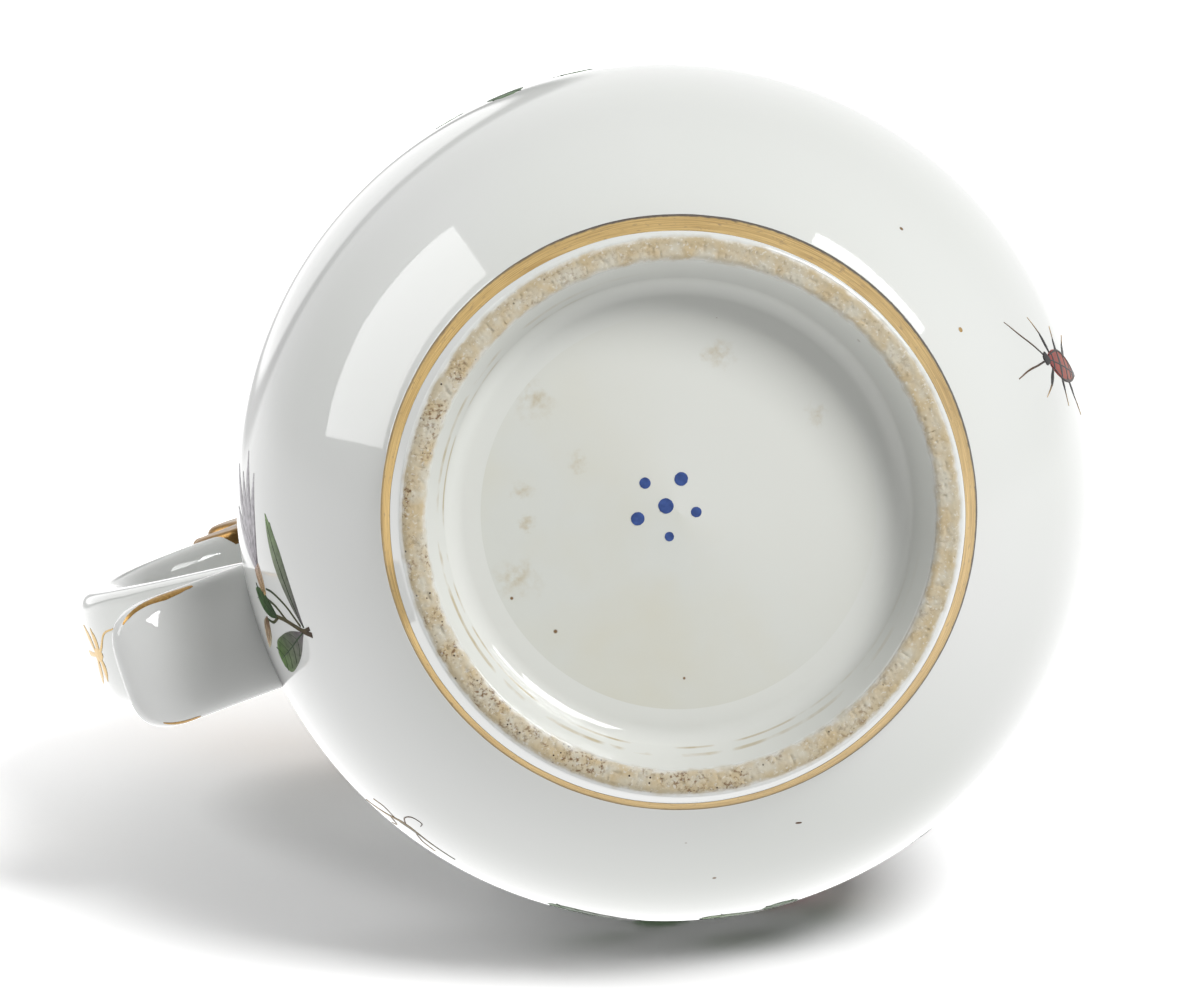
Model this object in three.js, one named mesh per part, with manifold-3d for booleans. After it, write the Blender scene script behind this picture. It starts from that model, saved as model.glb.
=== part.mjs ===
// Porcelain cream jug: a pear-shaped body on a foot ring, with a pointed pouring lip and a
// strap handle that has a scrolled thumb rest and a lower end kicked out into a tongue.
// Millimetres, +Z up. The handle points to -X and the lip to +X.
// The origin lies on the resting plane, under the middle of the jug's bounding box.

import * as THREE from "three";
import { mergeVertices } from "three/addons/utils/BufferGeometryUtils.js";
import Module from "manifold-3d";

// ---------- driving dimensions ----------
const gap = 0.3; // left between pieces that touch on the real jug
const leaf = 0.3; // thickness given to gilding
const seat = gap + leaf; // how far the clay is set back under gilding
const clear = 1; // how far a cutting block runs past what it cuts
const finest = 0.01; // slivers left by a cut are cleaned away below this size

// How many straight facets stand for each curve.
const facets = {
  turn: 48,
  belly: 9,
  bellyInside: 7,
  neck: 5,
  flare: 3,
  strapSection: 16,
  strapLength: 32,
  tongueCorner: 4,
  tongueEdge: 2,
  giltLength: 6,
  thumb: 6,
};

const belly = { radius: 43, height: 37, shoulder: THREE.MathUtils.degToRad(25) };
// The shares say how far along each curve its two handles reach.
const neck = { radius: 27.4, height: 92, pull: 16, waistShare: 0.45 };
const rim = { radius: 29.6, height: 119, riseShare: 0.4, turnShare: 0.6, dropShare: 0.3 };
const wall = { side: 2.6, floor: 3 };

const foot = {
  rimInner: 24.6, // the unglazed ring that the jug stands on
  rimOuter: 27,
  rimHeight: 1.2,
  roundOff: 0.4,
  outerLow: 27.6, // the glazed wall leans out from here to where the belly starts
  outerHigh: 28.8,
  innerHigh: 21.6,
  top: 4.9,
  glazeLine: 0.6, // white line left below the gilding
};
const recess = { depth: 6.4, sag: 0.9, flat: 20.8 }; // the base, which sank a little in firing
const beak = { foot: 95, reach: 11, power: 1.3, innerShare: 0.82 };

const strap = { halfWidth: 6.4, halfThickness: 3.1, squareness: 3.2, reach: 61.7 };
const tongue = { root: 38, tip: 57, halfWidth: 6.5, thickness: 5.8, corner: 4.5, edge: 1.4 };
const tongueDrop = { height: 42.6, slope: 0.2, curve: 0.012 };
const thumb = { halfWidth: 6.5 };
const giltLine = { width: 1.2, start: 6 }; // along the tongue, clear of the belly

// The jug's axis stands off the origin, because the handle reaches further than the belly.
const axisX = (strap.reach - belly.radius) / 2;

const glazed = { color: 0xe9ebe6, roughness: 0.08, metalness: 0 };
const biscuit = { color: 0xcbbda6, roughness: 0.85, metalness: 0 };
const gilding = { color: 0xb98a3a, roughness: 0.25, metalness: 1 };

// ---------- solids ----------
const wasm = await Module();
wasm.setup();

function toSolid(geometry) {
  const bare = geometry.clone();
  bare.deleteAttribute("normal");
  bare.deleteAttribute("uv");
  const merged = mergeVertices(bare, 1e-4);
  const corners = merged.index.array;
  const kept = [];
  for (let i = 0; i < corners.length; i += 3) {
    const [a, b, c] = corners.slice(i, i + 3);
    if (a !== b && b !== c && c !== a) kept.push(a, b, c);
  }
  return new wasm.Manifold(
    new wasm.Mesh({
      numProp: 3,
      vertProperties: new Float32Array(merged.attributes.position.array),
      triVerts: new Uint32Array(kept),
    }),
  );
}

function toGeometry(solid) {
  const { numProp, vertProperties, triVerts } = solid.simplify(finest).getMesh();
  const places = new THREE.InterleavedBuffer(vertProperties, numProp);
  const geometry = new THREE.BufferGeometry();
  geometry.setAttribute("position", new THREE.InterleavedBufferAttribute(places, 3, 0));
  geometry.setIndex(new THREE.BufferAttribute(triVerts, 1));
  const loose = geometry.toNonIndexed();
  loose.computeVertexNormals();
  return loose;
}

// Turns a profile of (radius, height) points round the jug's axis.
function lathe(profile) {
  return new THREE.LatheGeometry(profile, facets.turn).rotateX(Math.PI / 2);
}

function disc(radius, low, high) {
  return lathe([at(0, low), at(radius, low), at(radius, high), at(0, high)]);
}

function moveEach(geometry, move) {
  const places = geometry.attributes.position;
  const point = new THREE.Vector3();
  for (let i = 0; i < places.count; i++) {
    point.fromBufferAttribute(places, i);
    move(point);
    places.setXYZ(i, point.x, point.y, point.z);
  }
  return geometry;
}

const at = (radius, height) => new THREE.Vector2(radius, height);

// ---------- body ----------
// One side of the body wall from the belly up to the rim, set in from the outer face by
// `inset`. `from` is the height at which it starts.
function wallCurve(inset, from, bellyFacets = facets.belly) {
  const radius = belly.radius - inset;
  const start = Math.asin((from - belly.height) / radius);
  const shoulder = at(
    radius * Math.cos(belly.shoulder),
    belly.height + radius * Math.sin(belly.shoulder),
  );
  const along = at(-Math.sin(belly.shoulder), Math.cos(belly.shoulder)).multiplyScalar(neck.pull);
  const waist = at(neck.radius - inset, neck.height);
  const lip = at(rim.radius - inset, rim.height - seat);
  const points = [];
  for (let i = 0; i < bellyFacets; i++) {
    const angle = start + ((belly.shoulder - start) * i) / bellyFacets;
    points.push(at(radius * Math.cos(angle), belly.height + radius * Math.sin(angle)));
  }
  const narrowing = new THREE.CubicBezierCurve(
    shoulder,
    shoulder.clone().add(along),
    at(waist.x, waist.y - (waist.y - shoulder.y) * neck.waistShare),
    waist,
  );
  const opening = lip.clone().sub(waist);
  const flare = new THREE.CubicBezierCurve(
    waist,
    at(waist.x, waist.y + opening.y * rim.riseShare),
    at(lip.x - opening.x * rim.turnShare, lip.y - opening.y * rim.dropShare),
    lip,
  );
  const narrowed = narrowing.getPoints(facets.neck).slice(0, -1);
  return [...points, ...narrowed, ...flare.getPoints(facets.flare)];
}

const bellyStart = belly.height - Math.sqrt(belly.radius ** 2 - foot.outerHigh ** 2);
const innerFloor = recess.depth + wall.floor;
const baseHeight = (radius) => recess.depth - recess.sag * (1 - (radius / recess.flat) ** 2);

// The body as a full solid, grown by `grow` beyond its outer face, for trimming what is
// joined to it.
function bodyBlock(grow) {
  const side = wallCurve(-grow, bellyStart);
  const top = rim.height + rim.radius;
  return lathe([at(0, bellyStart), ...side, at(side.at(-1).x, top), at(0, top)]);
}

function bodyGeometry(mouthCut) {
  const outside = wallCurve(0, bellyStart + gap);
  const inside = wallCurve(wall.side, innerFloor, facets.bellyInside).reverse();
  const base = [
    at(0, baseHeight(0)),
    at(recess.flat / 2, baseHeight(recess.flat / 2)),
    at(recess.flat, baseHeight(recess.flat)),
    at(foot.innerHigh, foot.top + gap),
    at(foot.outerHigh - gap, foot.top + gap),
  ];
  const shell = lathe([...base, ...outside, ...inside, at(0, innerFloor)]);
  return toGeometry(toSolid(shell).subtract(mouthCut));
}

// ---------- foot ----------
function footRimGeometry() {
  const { rimInner, rimOuter, rimHeight, roundOff } = foot;
  return lathe([
    at(rimInner + roundOff, 0),
    at(rimOuter - roundOff, 0),
    at(rimOuter, roundOff),
    at(rimOuter, rimHeight),
    at(rimInner, rimHeight),
    at(rimInner, roundOff),
    at(rimInner + roundOff, 0),
  ]);
}

const footLow = foot.rimHeight + gap;
const giltLow = footLow + foot.glazeLine;
const footLean = (foot.outerHigh - foot.outerLow) / (foot.top - footLow);
const footOuter = (height) => foot.outerLow + footLean * (height - footLow);

function footRingGeometry() {
  return lathe([
    at(foot.rimInner, footLow),
    at(footOuter(footLow), footLow),
    at(footOuter(giltLow), giltLow),
    at(footOuter(giltLow) - seat, giltLow),
    at(footOuter(foot.top) - seat, foot.top),
    at(foot.innerHigh, foot.top),
    at(foot.rimInner, footLow),
  ]);
}

function footGiltGeometry() {
  const low = giltLow + gap;
  return lathe([
    at(footOuter(low) - leaf, low),
    at(footOuter(low), low),
    at(footOuter(foot.top), foot.top),
    at(footOuter(foot.top) - leaf, foot.top),
    at(footOuter(low) - leaf, low),
  ]);
}

// ---------- pouring lip ----------
// Draws a turned shape out to a point at +X. Each level becomes its own circle with the two
// lines that run from the point and touch that circle.
function drawOut(geometry, share) {
  return moveEach(geometry, (p) => {
    const rise = (p.z - beak.foot) / (rim.height - beak.foot);
    const radius = Math.hypot(p.x, p.y);
    if (rise <= 0 || radius === 0) return;
    const tip = radius + share * beak.reach * rise ** beak.power;
    const touch = Math.acos(radius / tip);
    const turn = touch - Math.abs(Math.atan2(p.y, p.x));
    if (turn <= 0) return;
    p.x /= Math.cos(turn);
    p.y /= Math.cos(turn);
  });
}

// The neck above the foot of the lip as a full solid, set in by `inset` and drawn out.
function beakBlock(inset, share, raise) {
  const side = wallCurve(inset, bellyStart).filter((p) => p.y > beak.foot);
  const low = at(side[0].x, beak.foot);
  const top = side.at(-1).y + raise;
  const profile = [at(0, beak.foot), low, ...side];
  if (raise > 0) profile.push(at(side.at(-1).x, top));
  profile.push(at(0, top));
  return toSolid(drawOut(lathe(profile), share));
}

function lipGeometry(mouthCut) {
  const outer = beakBlock(0, 1, 0);
  const solid = outer.subtract(mouthCut).subtract(toSolid(bodyBlock(gap)));
  return toGeometry(solid);
}

function rimGiltGeometry() {
  const low = rim.height - leaf;
  const high = rim.height;
  const plate = disc(rim.radius, low, high);
  const hole = disc(rim.radius - wall.side, low - clear, high + clear);
  const outer = toSolid(drawOut(plate, 1));
  return toGeometry(outer.subtract(toSolid(drawOut(hole, beak.innerShare))));
}

// ---------- handle ----------
// The strap's middle line in side view, as (distance from the axis, height), from where it
// lands on the belly, round the finger space, to the neck.
const strapLine = new THREE.CatmullRomCurve3(
  [
    [38.5, 36.5],
    [43.2, 44],
    [49, 54.5],
    [54, 64.5],
    [57.9, 75],
    [58.4, 85],
    [54.5, 94],
    [47, 98.8],
    [38, 99.6],
    [30, 97.6],
    [25.5, 95.6],
  ].map(([out, up]) => new THREE.Vector3(-out, 0, up)),
);

// A flattened oval with nearly straight sides. The sweep lays a section's x along the strap's
// width, which is the jug's Y, and its y through the strap's thickness.
function strapSection(grow) {
  const corner = 2 / strap.squareness;
  const points = [];
  for (let i = 0; i < facets.strapSection; i++) {
    const angle = (2 * Math.PI * i) / facets.strapSection;
    const along = Math.sign(Math.cos(angle)) * Math.abs(Math.cos(angle)) ** corner;
    const through = Math.sign(Math.sin(angle)) * Math.abs(Math.sin(angle)) ** corner;
    points.push(at(along * (strap.halfWidth + grow), through * (strap.halfThickness + grow)));
  }
  return new THREE.Shape(points);
}

function sweep(section) {
  return new THREE.ExtrudeGeometry(section, { steps: facets.strapLength, extrudePath: strapLine });
}

function strapGeometry(body) {
  return toGeometry(toSolid(sweep(strapSection(0))).subtract(body));
}

// The tongue's outline seen from above, with its free end rounded at both corners.
function tongueOutline() {
  const { root, tip, halfWidth, corner, edge } = tongue;
  const [near, far, side] = [-root, -tip + edge, halfWidth - edge];
  const outline = new THREE.Shape();
  outline.moveTo(near, side);
  outline.lineTo(far + corner, side);
  outline.quadraticCurveTo(far, side, far, side - corner);
  outline.lineTo(far, corner - side);
  outline.quadraticCurveTo(far, -side, far + corner, -side);
  outline.lineTo(near, -side);
  outline.closePath();
  return outline;
}

// Bends a level slab down along the tongue.
function bendDown(slab) {
  const { root, thickness, edge } = tongue;
  return moveEach(slab, (p) => {
    const out = -p.x - root;
    p.z += tongueDrop.height - thickness + edge - out * tongueDrop.slope - out ** 2 * tongueDrop.curve;
  });
}

function tongueGeometry(body, strapTrim) {
  const { thickness, edge } = tongue;
  const slab = new THREE.ExtrudeGeometry(tongueOutline(), {
    depth: thickness - 2 * edge,
    steps: 1,
    curveSegments: facets.tongueCorner,
    bevelThickness: edge,
    bevelSize: edge,
    bevelSegments: facets.tongueEdge,
  });
  return toGeometry(toSolid(bendDown(slab)).subtract(body).subtract(strapTrim));
}

// A gilt line along one straight side of the tongue.
function tongueGiltGeometry(side) {
  const { root, tip, halfWidth, thickness, corner, edge } = tongue;
  const near = root + giltLine.start;
  const far = tip - edge - corner;
  const line = new THREE.BoxGeometry(far - near, leaf, giltLine.width, facets.giltLength, 1, 1);
  const middle = thickness / 2 - edge;
  line.translate(-(near + far) / 2, side * (halfWidth + gap + leaf / 2), middle);
  return bendDown(line);
}

// The thumb rest in side view: it rises from the strap beside the neck and curls outwards.
function thumbOutline() {
  const outline = new THREE.Shape();
  outline.moveTo(-30.6, 99);
  outline.bezierCurveTo(-32, 107, -37, 106, -39.5, 112);
  outline.bezierCurveTo(-41, 116.5, -46.5, 117, -47, 113.2);
  outline.bezierCurveTo(-47.2, 110.6, -43.6, 110.8, -43.4, 107.8);
  outline.bezierCurveTo(-43.3, 104.5, -46, 104, -48.6, 102.2);
  outline.lineTo(-44, 98.5);
  outline.closePath();
  return outline;
}

function thumbGeometry(body, strapTrim) {
  const slab = new THREE.ExtrudeGeometry(thumbOutline(), {
    depth: 2 * thumb.halfWidth,
    steps: 1,
    curveSegments: facets.thumb,
    bevelEnabled: false,
  });
  slab.rotateX(Math.PI / 2).translate(0, thumb.halfWidth, 0);
  return toGeometry(toSolid(slab).subtract(body).subtract(strapTrim));
}

// ---------- assembly ----------
const jug = new THREE.Group();
jug.name = "cream_jug";
jug.position.x = axisX;

function add(name, geometry, finish) {
  const mesh = new THREE.Mesh(geometry, new THREE.MeshStandardMaterial(finish));
  mesh.name = name;
  jug.add(mesh);
}

const mouthCut = beakBlock(wall.side, beak.innerShare, 2 * clear);
const bodyTrim = toSolid(bodyBlock(gap));
const strapTrim = toSolid(sweep(strapSection(gap)));

add("body", bodyGeometry(mouthCut), glazed);
add("foot_ring", footRingGeometry(), glazed);
add("unglazed_foot_rim", footRimGeometry(), biscuit);
add("pouring_lip", lipGeometry(mouthCut), glazed);
add("handle_strap", strapGeometry(bodyTrim), glazed);
add("handle_tongue", tongueGeometry(bodyTrim, strapTrim), glazed);
add("thumb_scroll", thumbGeometry(bodyTrim, strapTrim), gilding);
add("gilt_foot_band", footGiltGeometry(), gilding);
add("gilt_rim", rimGiltGeometry(), gilding);
add("gilt_tongue_line_left", tongueGiltGeometry(-1), gilding);
add("gilt_tongue_line_right", tongueGiltGeometry(1), gilding);

export default jug;
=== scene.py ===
import math

import bmesh
import bpy
import numpy as np
from mathutils import Matrix, Vector


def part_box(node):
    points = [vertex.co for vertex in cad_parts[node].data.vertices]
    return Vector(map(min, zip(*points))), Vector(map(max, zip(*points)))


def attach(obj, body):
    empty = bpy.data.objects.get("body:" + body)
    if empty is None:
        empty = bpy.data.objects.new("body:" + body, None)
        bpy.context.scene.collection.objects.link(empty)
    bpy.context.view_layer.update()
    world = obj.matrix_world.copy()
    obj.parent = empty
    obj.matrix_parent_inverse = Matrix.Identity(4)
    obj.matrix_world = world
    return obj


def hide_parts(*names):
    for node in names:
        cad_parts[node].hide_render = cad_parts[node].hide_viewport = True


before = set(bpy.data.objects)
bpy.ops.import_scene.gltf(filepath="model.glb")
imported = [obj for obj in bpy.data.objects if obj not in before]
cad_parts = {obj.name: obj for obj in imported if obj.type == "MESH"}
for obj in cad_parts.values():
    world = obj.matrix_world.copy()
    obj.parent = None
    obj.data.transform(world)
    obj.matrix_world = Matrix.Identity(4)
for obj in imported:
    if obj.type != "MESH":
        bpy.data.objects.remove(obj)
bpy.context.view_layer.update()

# A porcelain cream jug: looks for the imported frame. Helper functions work in millimetres,
# and build() turns their points into metres.
MM = 0.001


def cad_mm(node):
    """A CAD node's lowest and highest corners in millimetres."""
    low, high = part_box(node)
    return np.array(low) / MM, np.array(high) / MM


# ---------- sizes, from the frame ----------
body_low, body_high = cad_mm("body")
ring_low, ring_high = cad_mm("foot_ring")
bare_low, bare_high = cad_mm("unglazed_foot_rim")
band_low, band_high = cad_mm("gilt_foot_band")
rim_low, rim_high = cad_mm("gilt_rim")
strap_low, strap_high = cad_mm("handle_strap")
tongue_low, tongue_high = cad_mm("handle_tongue")
thumb_low, thumb_high = cad_mm("thumb_scroll")

AXIS_X = (ring_low[0] + ring_high[0]) / 2
BELLY = (body_high[0] - body_low[0]) / 2
TOP = rim_high[2]
MOUTH = (rim_high[1] - rim_low[1]) / 2
FOOT_TOP = ring_high[2]
FOOT_OUT = (band_high[0] - band_low[0]) / 2
BARE_OUT = (bare_high[0] - bare_low[0]) / 2
BARE_TOP = bare_high[2]
STRAP_HALF = (strap_high[1] - strap_low[1]) / 2
TONGUE_HALF = (tongue_high[1] - tongue_low[1]) / 2
TONGUE_TIP = AXIS_X - tongue_low[0]

# ---------- shapes the boxes don't give ----------
BELLY_Z = 37.0
SHOULDER = math.radians(25)
WAIST, WAIST_Z, SHOULDER_PULL = 27.4, 92.0, 16.0
WALL = 2.6
BARE_IN = (bare_high[0] - bare_low[0]) / 2 - 2.4
RECESS, RECESS_SAG, RECESS_FLAT = 6.4, 0.9, 20.8
INNER_FLOOR = 9.4
BEAK_Z, BEAK_REACH, BEAK_POWER, BEAK_INNER = 95.0, 11.0, 1.3, 0.82
COLUMNS = 288
BEAK_COLUMNS = 38  # on each side of the point, wider than the drawn-out part


# ---------- curves in the (radius, height) plane ----------
def arc(centre, radius, start, end, count):
    angles = np.linspace(start, end, count)
    return np.stack([centre[0] + radius * np.cos(angles), centre[1] + radius * np.sin(angles)], 1)


def bezier(a, b, c, d, count):
    t = np.linspace(0, 1, count)[:, None]
    a, b, c, d = (np.array(p, float) for p in (a, b, c, d))
    return a * (1 - t) ** 3 + 3 * b * t * (1 - t) ** 2 + 3 * c * t ** 2 * (1 - t) + d * t ** 3


NEARLY_HALF = 0.499  # of a side, so that two fillets on it never meet


def rounded(corners, step=0.25):
    """A line through (radius, height, fillet) corners, with each corner rounded by its fillet."""
    points = []
    last = len(corners) - 1
    for i, (x, y, fillet) in enumerate(corners):
        here = np.array([x, y])
        if fillet == 0 or i in (0, last):
            points.append(here[None])
            continue
        back = np.array(corners[i - 1][:2]) - here
        ahead = np.array(corners[i + 1][:2]) - here
        back_unit, ahead_unit = back / np.linalg.norm(back), ahead / np.linalg.norm(ahead)
        half = math.acos(np.clip(back_unit @ ahead_unit, -1, 1)) / 2
        room = NEARLY_HALF * min(np.linalg.norm(back), np.linalg.norm(ahead))
        reach = min(fillet / math.tan(half), room)
        radius = reach * math.tan(half)
        middle = back_unit + ahead_unit
        centre = here + middle / np.linalg.norm(middle) * radius / math.sin(half)
        first, final = here + back_unit * reach - centre, here + ahead_unit * reach - centre
        start = math.atan2(first[1], first[0])
        sweep = (math.atan2(final[1], final[0]) - start + math.pi) % (2 * math.pi) - math.pi
        count = max(3, int(abs(sweep) * radius / step) + 2)
        points.append(arc(centre, radius, start, start + sweep, count))
    return np.concatenate(points)


def distances(line):
    """How far along a line each of its points lies."""
    return np.r_[0, np.cumsum(np.linalg.norm(np.diff(line, axis=0), axis=1))]


def tangents(line):
    """The unit direction of a line at each of its points."""
    along = np.gradient(line, axis=0)
    return along / np.linalg.norm(along, axis=1)[:, None]


def right_of(along):
    """The directions at a right angle to a line's, on its right."""
    return np.stack([along[:, 1], -along[:, 0]], 1)


def resample(line, step):
    """Points at even distances along a line, keeping both ends."""
    lengths = distances(line)
    count = max(2, int(round(lengths[-1] / step)) + 1)
    at = np.linspace(0, lengths[-1], count)
    return np.stack([np.interp(at, lengths, line[:, k]) for k in range(line.shape[1])], 1)


def squared_circle(angles, squareness):
    """Points on a unit circle, filled out towards a square."""
    c, s = np.cos(angles), np.sin(angles)
    power = 2 / squareness
    return np.sign(c) * np.abs(c) ** power, np.sign(s) * np.abs(s) ** power


RIM_DROP = 1.05  # how far down the mouth's rounded edge starts
CLAY_TOP = TOP - 0.08  # gilding lies on the rest


def wall_curve(inset, start_z):
    """One face of the body wall, from a height on the belly up to the rounded edge of the mouth."""
    radius = BELLY - inset
    start = math.asin((start_z - BELLY_Z) / radius)
    shoulder = np.array([radius * math.cos(SHOULDER), BELLY_Z + radius * math.sin(SHOULDER)])
    along = np.array([-math.sin(SHOULDER), math.cos(SHOULDER)]) * SHOULDER_PULL
    waist = np.array([WAIST - inset, WAIST_Z])
    lip = np.array([MOUTH - inset, CLAY_TOP - RIM_DROP])
    dx, dz = lip - waist
    belly = arc((0, BELLY_Z), radius, start, SHOULDER, 120)
    narrowing = bezier(shoulder, shoulder + along, waist - (0, 0.45 * (WAIST_Z - shoulder[1])), waist, 60)
    flare = bezier(waist, waist + (0, 0.4 * dz), lip - (0.6 * dx, 0.3 * dz), lip, 40)
    return np.concatenate([belly, narrowing[1:], flare[1:]])


BELLY_START = BELLY_Z - math.sqrt(BELLY ** 2 - FOOT_OUT ** 2)
SEAM = 19.2  # the foot ring's soft inner corner runs out into the base here


def base_height(radius):
    """The base inside the foot ring, which sags towards the middle."""
    return RECESS - RECESS_SAG * (1 - (radius / RECESS_FLAT) ** 2)


# ---------- meshes ----------
SHARP = math.radians(42)


def build(name, points, faces, uv, shades=None):
    """A mesh object from points in millimetres, with a uv pair and perhaps a paint colour for each."""
    mesh = bpy.data.meshes.new(name)
    mesh.from_pydata((np.asarray(points) * MM).tolist(), [], faces)
    layer = mesh.uv_layers.new(name="UVMap")
    loops = np.zeros(len(mesh.loops), int)
    mesh.loops.foreach_get("vertex_index", loops)
    layer.data.foreach_set("uv", np.asarray(uv, float)[loops].astype(np.float32).ravel())
    if shades is not None:
        paint = mesh.color_attributes.new("paint", "FLOAT_COLOR", "POINT")
        paint.data.foreach_set("color", np.c_[shades, np.ones(len(shades))].astype(np.float32).ravel())
    shell = bmesh.new()
    shell.from_mesh(mesh)
    bmesh.ops.remove_doubles(shell, verts=shell.verts, dist=1e-7)
    bmesh.ops.recalc_face_normals(shell, faces=shell.faces)
    shell.to_mesh(mesh)
    shell.free()
    mesh.shade_smooth()
    mesh.set_sharp_from_angle(angle=SHARP)
    made = bpy.data.objects.new(name, mesh)
    bpy.context.scene.collection.objects.link(made)
    return made


def grid_faces(rows, columns, wrap_rows=False, wrap_columns=False):
    """The four-sided faces between neighbouring points of a grid."""
    faces = []
    for i in range(rows if wrap_rows else rows - 1):
        for j in range(columns if wrap_columns else columns - 1):
            i2, j2 = (i + 1) % rows, (j + 1) % columns
            faces.append((i * columns + j, i * columns + j2, i2 * columns + j2, i2 * columns + j))
    return faces


def turned_points(profile, columns=COLUMNS):
    """A (radius, height) profile turned about the jug's axis, as rows by columns of points and uvs."""
    angles = np.arange(columns) * 2 * np.pi / columns
    lengths = distances(profile)
    r, z = profile[:, :1], profile[:, 1:]
    points = np.stack([r * np.cos(angles), r * np.sin(angles), z + 0 * angles], 2)
    uv = np.stack([angles * FOOT_OUT + 0 * r, lengths[:, None] + 0 * angles], 2) * MM
    return points, uv


def draw_out(points, share=1.0):
    """Pulls the neck out to the pouring lip's point at +X."""
    x, y, z = points[..., 0], points[..., 1], points[..., 2]
    rise = np.clip((z - BEAK_Z) / (TOP - BEAK_Z), 0, None)
    radius = np.hypot(x, y)
    tip = radius + share * BEAK_REACH * rise ** BEAK_POWER
    touch = np.arccos(np.clip(radius / np.maximum(tip, 1e-9), -1, 1))
    turn = np.clip(touch - np.abs(np.arctan2(y, x)), 0, None)
    # the point itself is rounded off a little, as a damp sponge leaves it
    soft = np.where(turn > 0, turn ** 2 / (turn + 0.05), 0)
    grow = 1 / np.cos(soft)
    grown = points.copy()
    grown[..., 0] = x * grow
    grown[..., 1] = y * grow
    return grown


def placed(points):
    """Moves points from the jug's own axis to the frame's."""
    moved = np.array(points, float)
    moved[..., 0] += AXIS_X
    return moved


def turned(name, profile, columns=COLUMNS, change=None):
    """A ring turned from a closed profile, whose points may be changed on the way."""
    points, uv = turned_points(profile, columns)
    if change is not None:
        points = change(points)
    faces = grid_faces(len(profile), columns, wrap_rows=True, wrap_columns=True)
    return build(name, placed(points).reshape(-1, 3), faces, uv.reshape(-1, 2))


# ---------- smooth random fields, the same on every run ----------
def lattice(seed, size=64):
    return np.random.default_rng(seed).random((size, size))


def noise2(seed, u, v):
    """Smooth noise from 0 to 1 at points (u, v), one cell per unit."""
    table = lattice(seed)
    size = len(table)
    iu, iv = np.floor(u).astype(int), np.floor(v).astype(int)
    fu, fv = u - iu, v - iv
    fu, fv = fu * fu * (3 - 2 * fu), fv * fv * (3 - 2 * fv)
    a, b = table[iu % size, iv % size], table[(iu + 1) % size, iv % size]
    c, d = table[iu % size, (iv + 1) % size], table[(iu + 1) % size, (iv + 1) % size]
    return (a * (1 - fu) + b * fu) * (1 - fv) + (c * (1 - fu) + d * fu) * fv


# ---------- body, foot and lip ----------
def body_profile():
    """The body's section: its base, outer wall, rounded mouth, inner wall and floor."""
    base = np.stack([np.linspace(0, SEAM, 40), base_height(np.linspace(0, SEAM, 40))], 1)
    tucked = RECESS + 1.4
    hidden = np.array([[SEAM, tucked], [BARE_OUT, tucked], [FOOT_OUT - 0.6, BELLY_START + 0.5]])
    outside = wall_curve(0, BELLY_START)
    inside = wall_curve(WALL, INNER_FLOOR + 1.2)[::-1]
    middle = (outside[-1] + inside[0]) / 2
    half = (outside[-1][0] - inside[0][0]) / 2
    turn = np.linspace(0, np.pi, 13)[1:-1]
    edge = np.stack([middle[0] + half * np.cos(turn), middle[1] + RIM_DROP * np.sin(turn)], 1)
    wall_foot = inside[-1][0]
    floor_corners = [(wall_foot, inside[-1][1], 0), (wall_foot - 2.4, INNER_FLOOR, 3), (0, INNER_FLOOR, 0)]
    floor = rounded(floor_corners, 0.6)
    return np.concatenate([base, hidden, outside, edge, inside, floor[1:]])


def split_mouth():
    """The body and the pouring lip, cut from one drawn-out shell so that they meet smoothly."""
    profile = body_profile()
    points, uv = turned_points(profile)
    top = int(np.argmax(profile[:, 1]))
    outer = draw_out(points[:top + 1], 1.0)
    inner = draw_out(points[top + 1:], BEAK_INNER)
    points = np.concatenate([outer, inner])
    rows = len(profile)
    first_out = int(np.argmax((profile[:, 1] > BEAK_Z) & (np.arange(rows) < top)))
    last_in = rows - 1 - int(np.argmax(profile[::-1, 1] > BEAK_Z))
    grid = np.arange(rows * COLUMNS).reshape(rows, COLUMNS)
    lip_faces, body_faces = [], []
    for i in range(rows - 1):
        for j in range(COLUMNS):
            j2 = (j + 1) % COLUMNS
            face = (grid[i, j], grid[i, j2], grid[i + 1, j2], grid[i + 1, j])
            lip = first_out <= i < last_in and min(j, COLUMNS - 1 - j) < BEAK_COLUMNS
            (lip_faces if lip else body_faces).append(tuple(int(k) for k in face))
    # the cut runs through the wall: up one side, down the other and along the lip's foot
    caps = []
    for i in range(first_out, last_in):
        mirror = first_out + last_in - i - 1
        if i >= mirror:
            break
        for j in (BEAK_COLUMNS, COLUMNS - BEAK_COLUMNS):
            caps.append((grid[i, j], grid[i + 1, j], grid[mirror, j], grid[mirror + 1, j]))
    for j in range(-BEAK_COLUMNS, BEAK_COLUMNS):
        caps.append((grid[first_out, j], grid[first_out, j + 1], grid[last_in, j + 1], grid[last_in, j]))
    caps = [tuple(int(k) for k in cap) for cap in caps]
    whole = placed(points).reshape(-1, 3)
    return whole, uv.reshape(-1, 2), body_faces + caps, lip_faces + caps


def piece_from(name, points, uv, faces):
    """A piece made of some faces of a bigger shell."""
    used = sorted({k for face in faces for k in face})
    index = {k: i for i, k in enumerate(used)}
    own_faces = [tuple(index[k] for k in dict.fromkeys(face)) for face in faces]
    return build(name, points[used], own_faces, uv[used])


def make_body_and_lip():
    points, uv, body_faces, lip_faces = split_mouth()
    body = piece_from("body_porcelain", points, uv, body_faces)
    lip = piece_from("pouring_lip_porcelain", points, uv, lip_faces)
    return body, lip


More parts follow.
